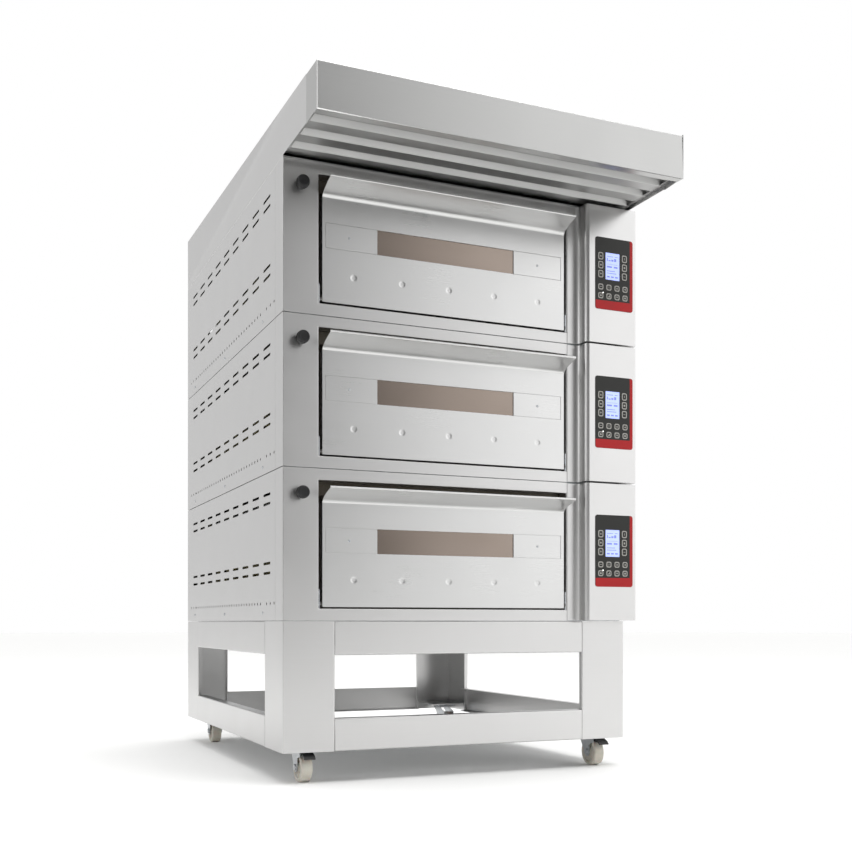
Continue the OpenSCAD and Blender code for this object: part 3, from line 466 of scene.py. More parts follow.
def window_glass():
    """Heat-reflecting ceramic glass: a bronze metal-oxide coating, so it mirrors
    the room in brown and lets a little through. Roller waves 20 cm apart bend the reflections."""

    def surface(tree):
        waves = add(
            tree, "ShaderNodeTexNoise",
            {"Vector": object_place(tree, (5, 5, 12)), "Scale": 1.0, "Detail": 1.0},
        ).outputs[0]
        tone = add(
            tree,
            "ShaderNodeMix",
            {0: waves, 6: (*settings("door").glass, 1), 7: linear("#857970")},
            data_type="RGBA",
        ).outputs[2]
        return shaded(
            tree, waves, 0.5, 0.0004,
            Base_Color=tone, Metallic=0.8, Roughness=0.12, IOR=1.5, Transmission_Weight=1.0,
        )

    return finish("bronze_coated_ceramic_glass", surface)


def film(name, tone, rough=0.42):
    """Screen-printed polyester overlay: flat ink under a fine 0.3 mm velvet texture."""

    def surface(tree):
        grit = add(
            tree, "ShaderNodeTexNoise", {"Vector": object_place(tree), "Scale": 3000.0, "Detail": 2.0}
        ).outputs[0]
        cloud = add(
            tree, "ShaderNodeTexNoise", {"Vector": object_place(tree), "Scale": 25.0, "Detail": 2.0}
        ).outputs[0]
        ink = add(
            tree, "ShaderNodeMix", {0: cloud, 6: (*[c * 0.82 for c in tone], 1), 7: (*tone, 1)},
            data_type="RGBA",
        ).outputs[2]
        gloss = add(
            tree, "ShaderNodeMapRange", {"Value": cloud, "To Min": rough - 0.06, "To Max": rough + 0.06}
        ).outputs[0]
        return shaded(tree, grit, 0.3, 0.00002, Base_Color=ink, Roughness=gloss, Specular_IOR_Level=0.3)

    return finish(name, surface)


def lit(name, tone, strength):
    """Backlit liquid-crystal panel or lens: even glow with a faint 0.6 mm dot grid, glossy front."""

    def surface(tree):
        grid = add(
            tree,
            "ShaderNodeTexVoronoi",
            {"Vector": object_place(tree), "Scale": 1600.0, "Randomness": 0.0},
            feature="F1",
        ).outputs["Distance"]
        dim = add(
            tree, "ShaderNodeMapRange", {"Value": grid, "From Max": 0.8, "To Min": 1.0, "To Max": 0.88}
        ).outputs[0]
        glow = add(
            tree, "ShaderNodeMix", {0: dim, 6: (0.2, 0.25, 0.6, 1), 7: (*tone, 1)}, data_type="RGBA"
        ).outputs[2]
        return add(
            tree,
            "ShaderNodeBsdfPrincipled",
            {
                "Base Color": glow,
                "Roughness": 0.2,
                "Emission Color": glow,
                "Emission Strength": strength,
                "Coat Weight": 0.4,
            },
        ).outputs[0]

    return finish(name, surface)


def board_green():
    # solder-masked glass-epoxy board
    return speckled("solder_masked_board", ("#1f5a38", "#2f7449"), 0.004, (0.3, 0.45))


def motor_enamel():
    # stove-enamelled cast motor case: black, slight orange peel
    return speckled("stoved_motor_enamel", ("#1d1f22", "#2a2c30"), 0.0025, (0.3, 0.42), bump=0.0001)


# ---- Shape building, in millimetres ----


def at_axis(axis, u, v, s):
    """A point from two coordinates across an axis and one along it."""
    return {"X": (s, u, v), "Y": (u, s, v), "Z": (u, v, s)}[axis]


def bent(points, radius, steps=4):
    """A polyline with its inner corners rounded like bent sheet."""
    points = [Vector(p) for p in points]
    line = [points[0]]
    for a, b, c in zip(points, points[1:], points[2:]):
        back, on = (a - b).normalized(), (c - b).normalized()
        turn = math.pi - back.angle(on)
        reach = min(radius * math.tan(turn / 2), (a - b).length * 0.45, (c - b).length * 0.45)
        start, end = b + back * reach, b + on * reach
        for i in range(steps + 1):
            t = i / steps
            line.append(start * (1 - t) ** 2 + b * (2 * t * (1 - t)) + end * t**2)
    line.append(points[-1])
    return [tuple(p) for p in line]


def arc(cu, cv, radius, a0, a1, steps):
    """Points of an arc, angles in degrees."""
    angles = [math.radians(a0 + (a1 - a0) * i / steps) for i in range(steps + 1)]
    return [(cu + radius * math.cos(a), cv + radius * math.sin(a)) for a in angles]


def rounded_rect(u0, v0, u1, v1, radius, steps=5):
    return (
        arc(u1 - radius, v1 - radius, radius, 0, 90, steps)
        + arc(u0 + radius, v1 - radius, radius, 90, 180, steps)
        + arc(u0 + radius, v0 + radius, radius, 180, 270, steps)
        + arc(u1 - radius, v0 + radius, radius, 270, 360, steps)
    )


def sweep(bm, line, axis, stops, closed=False, skip=()):
    """Sheet drawn along an axis through the given stops; closed also gets its ends."""
    rows = [[bm.verts.new(at_axis(axis, u, v, s)) for u, v in line] for s in stops]
    count = len(line)
    for r, (near, far) in enumerate(zip(rows, rows[1:])):
        for i in range(count if closed else count - 1):
            if (r, i) not in skip:
                j = (i + 1) % count
                bm.faces.new((near[i], near[j], far[j], far[i]))
    if closed:
        bm.faces.new(rows[0])
        bm.faces.new(rows[-1])


def slab(bm, x0, x1, y0, y1, z0, z1):
    """A block that the piece's bevel rounds later."""
    sweep(bm, [(x0, y0), (x1, y0), (x1, y1), (x0, y1)], "Z", (z0, z1), closed=True)


def lathe(bm, profile, axis, centre, sides=48):
    """Turned shape: the profile's (radius, distance) points spun round an axis."""
    rows = []
    for k in range(sides):
        a = math.tau * k / sides
        rows.append(
            [
                bm.verts.new(Vector(centre) + Vector(at_axis(axis, r * math.cos(a), r * math.sin(a), h)))
                for r, h in profile
            ]
        )
    for k in range(sides):
        near, far = rows[k], rows[(k + 1) % sides]
        for i in range(len(profile) - 1):
            bm.faces.new((near[i], near[i + 1], far[i + 1], far[i]))


def contains(loop, p):
    """Whether a flat point lies inside a loop."""
    inside = False
    for (u0, v0), (u1, v1) in zip(loop, loop[1:] + loop[:1]):
        if (v0 > p.y) != (v1 > p.y) and p.x < (u1 - u0) * (p.y - v0) / (v1 - v0) + u0:
            inside = not inside
    return inside


def pierced(bm, outline, holes, place):
    """Flat sheet with holes; place puts its (u, v) points in space."""
    loops = [outline, *holes]
    points, edges = [], []
    for loop in loops:
        first = len(points)
        points += [Vector(p) for p in loop]
        edges += [(first + i, first + (i + 1) % len(loop)) for i in range(len(loop))]
    spots, _, faces, *_ = delaunay_2d_cdt(points, edges, [], 0, 1e-4)
    made = [bm.verts.new(place(p.x, p.y)) for p in spots]
    for tri in faces:
        middle = sum((spots[i] for i in tri), Vector((0, 0))) / len(tri)
        if contains(outline, middle) and not any(contains(hole, middle) for hole in holes):
            bm.faces.new([made[i] for i in tri])


def box_of(verts):
    return [(min(v.co[k] for v in verts), max(v.co[k] for v in verts)) for k in range(3)]


def hold_in(verts, box):
    """Keeps the points where folds meet inside the sheet's own box."""
    for v in verts:
        v.co = [min(max(v.co[k], low), high) for k, (low, high) in enumerate(box)]


def fold_edges(bm, radius, least=20):
    """Rounds every crease between two faces of an open sheet, like a press brake does."""
    bmesh.ops.remove_doubles(bm, verts=bm.verts, dist=0.01)
    creases = [e for e in bm.edges if len(e.link_faces) == 2 and e.calc_face_angle(0) > math.radians(least)]
    box = box_of(bm.verts)
    bmesh.ops.bevel(bm, geom=creases, offset=radius, segments=3, profile=0.5, affect="EDGES")
    hold_in(bm.verts, box)


def face_out(bm, outward):
    """Turns each face so that it looks along outward(centre)."""
    bm.normal_update()
    wrong = [f for f in bm.faces if f.normal.dot(Vector(outward(f.calc_center_median()))) < 0]
    bmesh.ops.reverse_faces(bm, faces=wrong)


def away_from(*point):
    return lambda centre: centre - Vector(point)


def along(*direction):
    return lambda centre: direction


def applied(piece):
    """Turns the modifiers into plain mesh."""
    graph = bpy.context.evaluated_depsgraph_get()
    solid = bpy.data.meshes.new_from_object(piece.evaluated_get(graph), depsgraph=graph)
    piece.modifiers.clear()
    piece.data = solid
    solid.name = piece.name


def make_piece(
    bm, name, material, body, replaces=(), outward=None, sheet=0.0, bevel=0.0, crease=32, nodes=None
):
    """Turns a shape in millimetres into a finished piece in metres that rides a body.
    outward faces an open sheet before sheet gives it its thickness; without it the shape is
    closed and its faces are recalculated. nodes is a (tree, values) pair that repeats it."""
    bmesh.ops.remove_doubles(bm, verts=bm.verts, dist=0.01)
    loose = [f for f in bm.faces if f.calc_area() < 1e-6]
    bmesh.ops.delete(bm, geom=loose, context="FACES_ONLY")
    if outward:
        face_out(bm, outward)
    else:
        bmesh.ops.recalc_face_normals(bm, faces=bm.faces)
    bm.transform(Matrix.Scale(1 / MM, 4))
    mesh = bpy.data.meshes.new(name)
    bm.to_mesh(mesh)
    bm.free()
    piece = bpy.data.objects.new(name, mesh)
    bpy.context.scene.collection.objects.link(piece)
    mesh.materials.append(material)
    if sheet:
        wall = piece.modifiers.new("wall", "SOLIDIFY")
        wall.thickness = sheet
        wall.offset = -1
    if bevel:
        edge = piece.modifiers.new("edge", "BEVEL")
        edge.width = bevel
        edge.segments = 2
        edge.limit_method = "ANGLE"
        edge.angle_limit = math.radians(crease)
    if nodes:
        tree, values = nodes
        repeat = piece.modifiers.new("repeat", "NODES")
        repeat.node_group = tree
        for item in tree.interface.items_tree:
            if item.in_out == "INPUT" and item.name in values:
                repeat[item.identifier] = values[item.name]
    if piece.modifiers:
        applied(piece)
        if sheet and replaces and not nodes:
            boxes = [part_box(node) for node in replaces]
            span = [(min(b[0][k] for b in boxes), max(b[1][k] for b in boxes)) for k in range(3)]
            hold_in(piece.data.vertices, span)
        if not piece.data.materials:
            piece.data.materials.append(material)
    piece.data.shade_smooth()
    piece.data.set_sharp_from_angle(angle=math.radians(crease))
    # broad flat faces keep their shading next to small rounded ones
    weigh = piece.modifiers.new("weigh", "WEIGHTED_NORMAL")
    weigh.keep_sharp = True
    applied(piece)
    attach(piece, body)
    if replaces:
        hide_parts(*replaces)
    return piece


def refined(node, material, bevel=0.0, crease=32):
    """A CAD node's own shape with merged faces, soft edges and its finish."""
    source = NODES[node]
    bm = bmesh.new()
    bm.from_mesh(source.data)
    bmesh.ops.remove_doubles(bm, verts=bm.verts, dist=1e-6)
    bmesh.ops.dissolve_limit(
        bm, angle_limit=math.radians(0.4), verts=bm.verts, edges=bm.edges, delimit={"NORMAL"}
    )
    bm.transform(Matrix.Scale(MM, 4))
    return make_piece(
        bm, node + "_fine", material, source["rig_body"], replaces=(node,), bevel=bevel, crease=crease
    )


def coat(node, material):
    """Gives a CAD node whose shape stays its finish."""
    mesh = NODES[node].data
    mesh.materials.clear()
    mesh.materials.append(material)


def group(name, inputs):
    """An empty Geometry Nodes tree with named inputs and one geometry output."""
    tree = bpy.data.node_groups.new(name, "GeometryNodeTree")
    tree.interface.new_socket("Geometry", in_out="INPUT", socket_type="NodeSocketGeometry")
    for label, kind, default in inputs:
        item = tree.interface.new_socket(label, in_out="INPUT", socket_type="NodeSocket" + kind)
        if default is not None:
            item.default_value = default
    tree.interface.new_socket("Geometry", in_out="OUTPUT", socket_type="NodeSocketGeometry")
    return tree, add(tree, "NodeGroupInput").outputs


TREES = {}


def close(tree, given, shape):
    """Ends a tree: real geometry with its finish, because instances don't survive the export."""
    real = add(tree, "GeometryNodeRealizeInstances", {"Geometry": shape}).outputs[0]
    done = add(tree, "GeometryNodeSetMaterial", {"Geometry": real, "Material": given["Finish"]}).outputs[0]
    add(tree, "NodeGroupOutput", {0: done})


def rows_tree():
    """Repeats one screw, slat, key or rib in columns and rows."""
    if "rows" not in TREES:
        tree, given = group(
            "repeat_in_rows",
            [
                ("Columns", "Int", 1),
                ("Column Step", "Vector", (0.1, 0, 0)),
                ("Rows", "Int", 1),
                ("Row Step", "Vector", (0, 0, 0.1)),
                ("Finish", "Material", None),
            ],
        )
        columns = add(
            tree, "GeometryNodeMeshLine", {"Count": given["Columns"], "Offset": given["Column Step"]}
        ).outputs[0]
        row = add(
            tree, "GeometryNodeInstanceOnPoints", {"Points": columns, "Instance": given["Geometry"]}
        ).outputs[0]
        rows = add(
            tree, "GeometryNodeMeshLine", {"Count": given["Rows"], "Offset": given["Row Step"]}
        ).outputs[0]
        field = add(tree, "GeometryNodeInstanceOnPoints", {"Points": rows, "Instance": row}).outputs[0]
        close(tree, given, field)
        TREES["rows"] = tree
    return TREES["rows"]


def ring_tree():
    """Repeats one rib, blade or fin evenly round an axis through a hub."""
    if "ring" not in TREES:
        tree, given = group(
            "repeat_round_hub",
            [
                ("Count", "Int", 12),
                ("Axis", "Vector", (0, 0, 1)),
                ("Hub", "Vector", (0, 0, 0)),
                ("Finish", "Material", None),
            ],
        )
        points = add(
            tree, "GeometryNodePoints", {"Count": given["Count"], "Position": given["Hub"]}
        ).outputs[0]
        index = add(tree, "GeometryNodeInputIndex").outputs[0]
        share = add(tree, "ShaderNodeMath", {0: index, 1: given["Count"]}, operation="DIVIDE").outputs[0]
        angle = add(tree, "ShaderNodeMath", {0: share, 1: math.tau}, operation="MULTIPLY").outputs[0]
        turn = add(
            tree, "FunctionNodeAxisAngleToRotation", {"Axis": given["Axis"], "Angle": angle}
        ).outputs[0]
        ring = add(
            tree,
            "GeometryNodeInstanceOnPoints",
            {"Points": points, "Instance": given["Geometry"], "Rotation": turn},
        ).outputs[0]
        close(tree, given, ring)
        TREES["ring"] = tree
    return TREES["ring"]


def coil_tree():
    """Winds wire into a spring with its axis along X."""
    if "coil" not in TREES:
        tree, given = group(
            "wind_spring",
            [
                ("Turns", "Float", 3.0),
                ("Radius", "Float", 0.007),
                ("Length", "Float", 0.005),
                ("Wire", "Float", 0.0007),
                ("Centre", "Vector", (0, 0, 0)),
                ("Finish", "Material", None),
            ],
        )
        helix = add(
            tree,
            "GeometryNodeCurveSpiral",
            {
                "Resolution": 24,
                "Rotations": given["Turns"],
                "Start Radius": given["Radius"],
                "End Radius": given["Radius"],
                "Height": given["Length"],
            },
        ).outputs[0]
        circle = add(
            tree, "GeometryNodeCurvePrimitiveCircle", {"Resolution": 8, "Radius": given["Wire"]}
        ).outputs[0]
        wire = add(
            tree, "GeometryNodeCurveToMesh", {"Curve": helix, "Profile Curve": circle, "Fill Caps": True}
        ).outputs[0]
        placed = add(
            tree,
            "GeometryNodeTransform",
            {"Geometry": wire, "Translation": given["Centre"], "Rotation": (0, math.pi / 2, 0)},
        ).outputs[0]
        both = add(tree, "GeometryNodeJoinGeometry", {"Geometry": placed}).outputs[0]
        close(tree, given, both)
        TREES["coil"] = tree
    return TREES["coil"]


def rows_of(material, columns=1, column_step=(0, 0, 0), rows=1, row_step=(0, 0, 0)):
    """Values for the rows tree; steps in millimetres."""
    return rows_tree(), {
        "Columns": columns,
        "Column Step": tuple(Vector(column_step) / MM),
        "Rows": rows,
        "Row Step": tuple(Vector(row_step) / MM),
        "Finish": material,
    }


def ring_of(material, count, axis, hub):
    """Values for the ring tree; hub in millimetres, the template drawn round the origin."""
    return ring_tree(), {"Count": count, "Axis": axis, "Hub": tuple(Vector(hub) / MM), "Finish": material}


# ---- Stand and castors ----


class OVEN_OT_stand(Operator):
    """Bends the stand's four legs and eight rails from stainless sheet"""

    bl_idname = "oven.stand"
    bl_label = "Stand"

    def execute(self, context):
        s = settings("sheet")
        leg_w, leg_d, t, bend = s.leg_w * MM, s.leg_d * MM, s.stand * MM, s.bend * MM + 1
        z0, z1 = STAND_LO.z, STAND_HI.z
        hem = 14.0
        legs = bmesh.new()
        shelves = bmesh.new()
        for x, sx in ((X_L, 1), (X_R, -1)):
            for y, sy in ((Y_F, 1), (Y_B, -1)):
                part = bmesh.new()
                corners = [(leg_w, hem), (leg_w, 0), (0, 0), (0, leg_d), (hem, leg_d)]
                line = bent([(x + sx * u, y + sy * v) for u, v in corners], bend)
                sweep(part, line, "Z", (z0, z1))
                face_out(part, away_from(x + sx * leg_w * 0.55, y + sy * leg_d * 0.55, (z0 + z1) / 2))
                join(legs, part)
                inner = [x + sx * (t + 0.2), x + sx * (leg_w - t - 0.2)]
                depth = [y + sy * (t + 0.2), y + sy * (leg_d - t - 0.2)]
                slab(shelves, *sorted(inner), *sorted(depth), z0 + 25, z0 + 28)
        steel = body_stainless()
        make_piece(
            legs, "stand_legs_bent", steel, "oven", ["stand_legs"],
            outward=along(0, 0, 0), sheet=s.stand,
        )
        make_piece(shelves, "stand_castor_shelves", steel, "oven", bevel=0.0004)
        rails = bmesh.new()
        flange = 30.0
        for low, high in ((z0, z0 + s.rail_low * MM), (z1 - s.rail_top * MM, z1)):
            for y, sy in ((Y_F, 1), (Y_B, -1)):
                self.rail(rails, [(y + sy * flange, low), (y, low), (y, high), (y + sy * flange, high)],
                          "X", X_L + leg_w + 0.2, X_R - leg_w - 0.2, bend, (0, y + sy * 15, (low + high) / 2))
            for x, sx in ((X_L, 1), (X_R, -1)):
                self.rail(rails, [(x + sx * flange, low), (x, low), (x, high), (x + sx * flange, high)],
                          "Y", Y_F + leg_d + 0.2, Y_B - leg_d - 0.2, bend, (x + sx * 15, 0, (low + high) / 2))
        make_piece(
            rails, "stand_rails_bent", steel, "oven", ["stand_rails"],
            outward=along(0, 0, 0), sheet=s.stand,
        )
        return {"FINISHED"}

    def rail(self, bm, points, axis, lo, hi, bend, middle):
        part = bmesh.new()
        sweep(part, bent(points, bend), axis, (lo, hi))
        flat = (0, 1, 1) if axis == "X" else (1, 0, 1)
        face_out(part, lambda c: [(c[i] - middle[i]) * flat[i] for i in range(3)])
        join(bm, part)


def join(bm, part):
    """Adds one shape to another."""
    mesh = bpy.data.meshes.new("part")
    part.to_mesh(mesh)
    part.free()
    bm.from_mesh(mesh)
    bpy.data.meshes.remove(mesh)


class OVEN_OT_castors(Operator):
    """Makes the castors: plates, forks, moulded wheels and brake pedals"""

    bl_idname = "oven.castors"
    bl_label = "Castors"

    def execute(self, context):
        s = settings("castor")
        refined("castor_plates", bright_zinc(), bevel=0.0005)
        half, radius = s.wheel_w * MM / 2, s.wheel_d * MM / 2
        tread = arc(radius - 4, half - 4, 4, 0, 90, 6)
        outer = [(5.1, half + 0.9), (10.5, half + 0.9), (11.5, half + 0.2), (13, half - 2.4), (14.5, half - 3.2),
                 (radius - 13, half - 3.8), (radius - 11.5, half - 3.4), (radius - 10, half - 1)]
        side = outer + [(radius - 9.2, half - 0.2)] + [(u, v) for u, v in reversed(tread)]
        profile = side + [(u, -v) for u, v in reversed(side)] + [side[0]]
        for corner in CORNERS:
            refined("castor_fork_" + corner, bright_zinc(), bevel=0.0004)
            lo, hi = box_mm("castor_wheel_" + corner)
            centre = (lo + hi) / 2
            wheel = bmesh.new()
            lathe(wheel, profile, "X", centre, 72)
            body = "wheel_" + corner
            make_piece(
                wheel, "castor_wheel_moulded_" + corner, wheel_nylon(), body,
                ["castor_wheel_" + corner],
            )
            for side_name, sx in (("left", -1), ("right", 1)):
                rib = bmesh.new()
                x0, x1 = sorted((sx * (half - 5), sx * (half - 1.6)))
                slab(rib, x0, x1, -0.9, 0.9, 11.6, radius - 10.4)
                make_piece(
                    rib, f"castor_wheel_ribs_{corner}_{side_name}", wheel_nylon(), body,
                    bevel=0.0004, nodes=ring_of(wheel_nylon(), 8, (1, 0, 0), centre),
                )
        for side_name in ("left", "right"):
            node = "brake_pedal_front_" + side_name
            refined(node, moulded_black(), bevel=0.0009)
            lo, hi = box_mm(node)
            rib = bmesh.new()
            pin_y, pin_z = lo.y + 32, hi.z - 4
            slab(rib, lo.x + 3, hi.x - 3, pin_y - 9.2, pin_y - 8.2, pin_z + 3.0, pin_z + 3.95)
            make_piece(
                rib, node + "_grip", moulded_black(), "brake_" + side_name, bevel=0.0002,
                nodes=rows_of(moulded_black(), columns=5, column_step=(0, 3.1, 0)),
            )
        return {"FINISHED"}


# ---- Bodies ----


class OVEN_OT_covers(Operator):
    """Finishes the slotted covers, the inner chassis and the cover screws"""

    bl_idname = "oven.covers"
    bl_label = "Covers"

    def execute(self, context):
        for node in ("left_covers", "right_covers", "rear_covers"):
            coat(node, body_stainless())
        coat("chassis", galvanised())
        zinc = bright_zinc()
        step = (0, 0, DECK_H)
        z = BASE[1] + 21
        cover_y0 = Y_F + 68
        length = Y_B - cover_y0
        sides = {
            "left": ("X", (X_L, cover_y0 + 0.11 * length, z), -1, (0, 0.39 * length, 0)),
            "right": ("X", (X_R, cover_y0 + 0.11 * length, z), 1, (0, 0.39 * length, 0)),
            "rear": ("Y", (X_L + 0.11 * (X_R - X_L), Y_B, z), 1, (0.39 * (X_R - X_L), 0, 0)),
        }
        for name, (axis, place, sign, across) in sides.items():
            screw = bmesh.new()
            dome = [(0, 1.2), (0.9, 1.2), (1.3, 1.6), (1.7, 2.05), (2.4, 1.9), (3.6, 1.2), (4.2, 0.1), (0, 0.1)]
            lathe(screw, [(r, sign * h) for r, h in dome], axis, place, 20)
            make_piece(
                screw, "cover_screw_heads_" + name, zinc, "oven",
                ["cover_screws"] if name == "left" else (),
                nodes=rows_of(zinc, columns=3, column_step=across, rows=len(DECKS), row_step=step),
            )
        return {"FINISHED"}


class OVEN_OT_fronts(Operator):
    """Folds the front frames with their turned-in door openings"""

    bl_idname = "oven.fronts"
    bl_label = "Front frames"

    def execute(self, context):
        s = settings("sheet")
        for d in DECKS:
            lo, hi = box_mm(f"front_frame_{d}")
            base = BASE[d]
            ox0, ox1 = DOOR_X0 - 9.5, DOOR_X1 + 7
            oz0, oz1 = base + 31, base + DECK_H - 30
            jamb = Y_F + 34
            bm = bmesh.new()
            ring = [(ox0, oz0), (ox1, oz0), (ox1, oz1), (ox0, oz1)]
            frame_edge = [(X_L, lo.z), (hi.x, lo.z), (hi.x, hi.z), (X_L, hi.z)]
            for i in range(4):
                j = (i + 1) % 4
                (a, b), (c, e) = ring[i], ring[j]
                quad = [(frame_edge[i][0], Y_F, frame_edge[i][1]), (frame_edge[j][0], Y_F, frame_edge[j][1]),
                        (c, Y_F, e), (a, Y_F, b)]
                bm.faces.new([bm.verts.new(p) for p in quad])
                quad = [(a, Y_F, b), (c, Y_F, e), (c, jamb, e), (a, jamb, b)]
                bm.faces.new([bm.verts.new(p) for p in quad])
            side = [(X_L, Y_F, lo.z), (X_L, Y_F, hi.z), (X_L, hi.y, hi.z), (X_L, hi.y, lo.z)]
            bm.faces.new([bm.verts.new(p) for p in side])
            fold_edges(bm, s.bend * MM)
            mid = Vector(((ox0 + ox1) / 2, 0, (oz0 + oz1) / 2))

            def outward(c):
                if c.y < Y_F + 3 and (c.x < ox0 - 3 or c.x > ox1 + 3 or c.z < oz0 - 3 or c.z > oz1 + 3):
                    return (-0.5 if c.x < X_L + 4 else 0, -1, 0)
                if c.x < X_L + 1:
                    return (-1, 0, 0)
                return ((mid.x - c.x) * (abs(c.x - mid.x) > (ox1 - ox0) / 2 - 4), -1,
                        (mid.z - c.z) * (abs(c.z - mid.z) > (oz1 - oz0) / 2 - 4))

            make_piece(
                bm, f"front_frame_folded_{d}", body_stainless(), "oven", [f"front_frame_{d}"],
                outward=outward, sheet=s.skin,
            )
        return {"FINISHED"}


class OVEN_OT_doors(Operator):
    """Builds the doors: flared skin, band, window, liner, gasket, hinges and springs"""

    bl_idname = "oven.doors"
    bl_label = "Doors"

    def execute(self, context):
        s = settings("door")
        steel = door_stainless()
        z0, z1 = 35.0, 35.0 + s.face_h * MM
        out = Y_F - box_mm("door_panel_1")[0].y
        band = (DOOR_X0 + 8, DOOR_X1 - 10)
        for d in DECKS:
            base, body = BASE[d], f"door_{d}"
            skin = bmesh.new()
            holes = [rectangle(band[0], base + WINDOW_Z0, band[1], base + WINDOW_Z1)]
            radius, sides = s.dimple_d * MM / 2, 36
            centres = [
                DOOR_MID + (i - (s.dimples - 1) / 2) * s.dimple_pitch * MM for i in range(s.dimples)
            ]
            z = base + s.dimple_z * MM
            for x in centres:
                holes.append(arc(x, z, radius, 0, 360, sides)[:-1])
                deep = s.dimple_depth * MM
                dish = [(radius * (1 - i / 8), deep * (1 - math.cos(math.pi * min(i / 5, 1))) / 2) for i in range(9)]
                lathe(skin, dish, "Y", (x, Y_F, z), sides)
            outline = rectangle(DOOR_X0, base + z0, DOOR_X1, base + z1)
            pierced(skin, outline, holes, lambda u, v: (u, Y_F, v))
            rise = s.lip_rise * MM
            lip = base + z1 + rise
            roll = s.lip_edge * MM / 2
            steps, steep = 28, math.atan(2 * out / rise)
            turns = [math.tan(steep * i / steps) * rise / (2 * out) for i in range(steps + 1)]
            reach = 1 - roll / out
            line = [(Y_F - out * (u * reach) ** 2, base + z1 + rise * u * reach) for u in turns[:-1]]
            line += arc(Y_F - out + roll, lip + roll, roll, 262, 75, 12)
            sweep(skin, line, "X", (DOOR_X0, DOOR_X1))
            make_piece(
                skin, f"door_skin_{d}", steel, body, [f"door_panel_{d}"],
                outward=along(0, -1, -1), sheet=0.0012, crease=20,
            )
            self.box_frame(d, base, body, band, steel)
            refined(f"door_liner_{d}", heat_tinted(), bevel=0.0004)
            refined(f"door_glass_{d}", window_glass(), bevel=0.0005)
        refined("door_gaskets", gasket_braid(), bevel=0.0015)
        refined("door_hinges", bright_zinc(), bevel=0.0004)
        self.springs()
        return {"FINISHED"}

    def box_frame(self, d, base, body, band, steel):
        """Ends, lower edge and the plates either side of the window."""
        parts = bmesh.new()
        lip = base + 298
        for x0 in (DOOR_X0 + 0.2, DOOR_X1 - 2.2):
            slab(parts, x0, x0 + 2, Y_F + 1.6, Y_F + 30, base + 35.2, lip)
        slab(parts, DOOR_X0 + 2.4, DOOR_X1 - 2.4, Y_F + 1.6, Y_F + 29.8, base + 35.2, base + 36.7)
        for x0 in (DOOR_X0 + 2.4, DOOR_X1 - 10.4):
            slab(parts, x0, x0 + 8, Y_F + 2, Y_F + 16, base + 37, base + 51)
        window = rectangle(WINDOW_X0, base + WINDOW_Z0, WINDOW_X1, base + WINDOW_Z1)
        back = rectangle(DOOR_X0 + 2.4, base + WINDOW_Z0 - 12, DOOR_X1 - 2.4, base + WINDOW_Z1 + 12)
        sheets = bmesh.new()
        pierced(sheets, back, [window], lambda u, v: (u, Y_F + 1.7, v))
        make_piece(
            sheets, f"door_band_backing_{d}", steel, body,
            outward=along(0, -1, 0), sheet=0.001,
        )
        for x0, x1 in ((band[0] + 0.7, WINDOW_X0), (WINDOW_X1, band[1] - 0.7)):
            slab(parts, x0, x1, Y_F + 0.1, Y_F + 1.65, base + WINDOW_Z0 + 0.7, base + WINDOW_Z1 - 0.7)
        make_piece(parts, f"door_ends_and_band_{d}", steel, body, bevel=0.0003)
        zinc = bright_zinc()
        screw = bmesh.new()
        x0, x1 = (band[0] + WINDOW_X0) / 2 - 6, (band[1] + WINDOW_X1) / 2
        height = base + (WINDOW_Z0 + WINDOW_Z1) / 2
        dome = [(0, -0.2), (0.9, -0.2), (1.3, -0.6), (1.8, -1.0), (2.6, -0.8), (3.4, -0.3), (3.7, 0.3), (0, 0.3)]
        lathe(screw, dome, "Y", (x0, Y_F, height), 20)
        make_piece(
            screw, f"door_band_screws_{d}", zinc, body,
            nodes=rows_of(zinc, columns=2, column_step=(x1 - x0, 0, 0)),
        )

    def springs(self):
        """One wound spring on each end of the three hinges."""
        wire = spring_wire()
        first = True
        for d in DECKS:
            y, z = Y_F + 8, BASE[d] + 43
            for side_name, x in (("left", DOOR_X0 - 4.7), ("right", DOOR_X1 + 1.0)):
                seed = bmesh.new()
                seed.verts.new((x, y, z))
                values = {
                    "Turns": 2.5,
                    "Radius": 0.007,
                    "Length": 0.004,
                    "Wire": 0.0006,
                    "Centre": (x / MM, y / MM, z / MM),
                    "Finish": wire,
                }
                make_piece(
                    seed, f"door_spring_{d}_{side_name}", wire, "oven",
                    ["door_springs"] if first else (), nodes=(coil_tree(), values), crease=60,
                )
                first = False


def rectangle(u0, v0, u1, v1):
    return [(u0, v0), (u1, v0), (u1, v1), (u0, v1)]


# ---- Controls ----


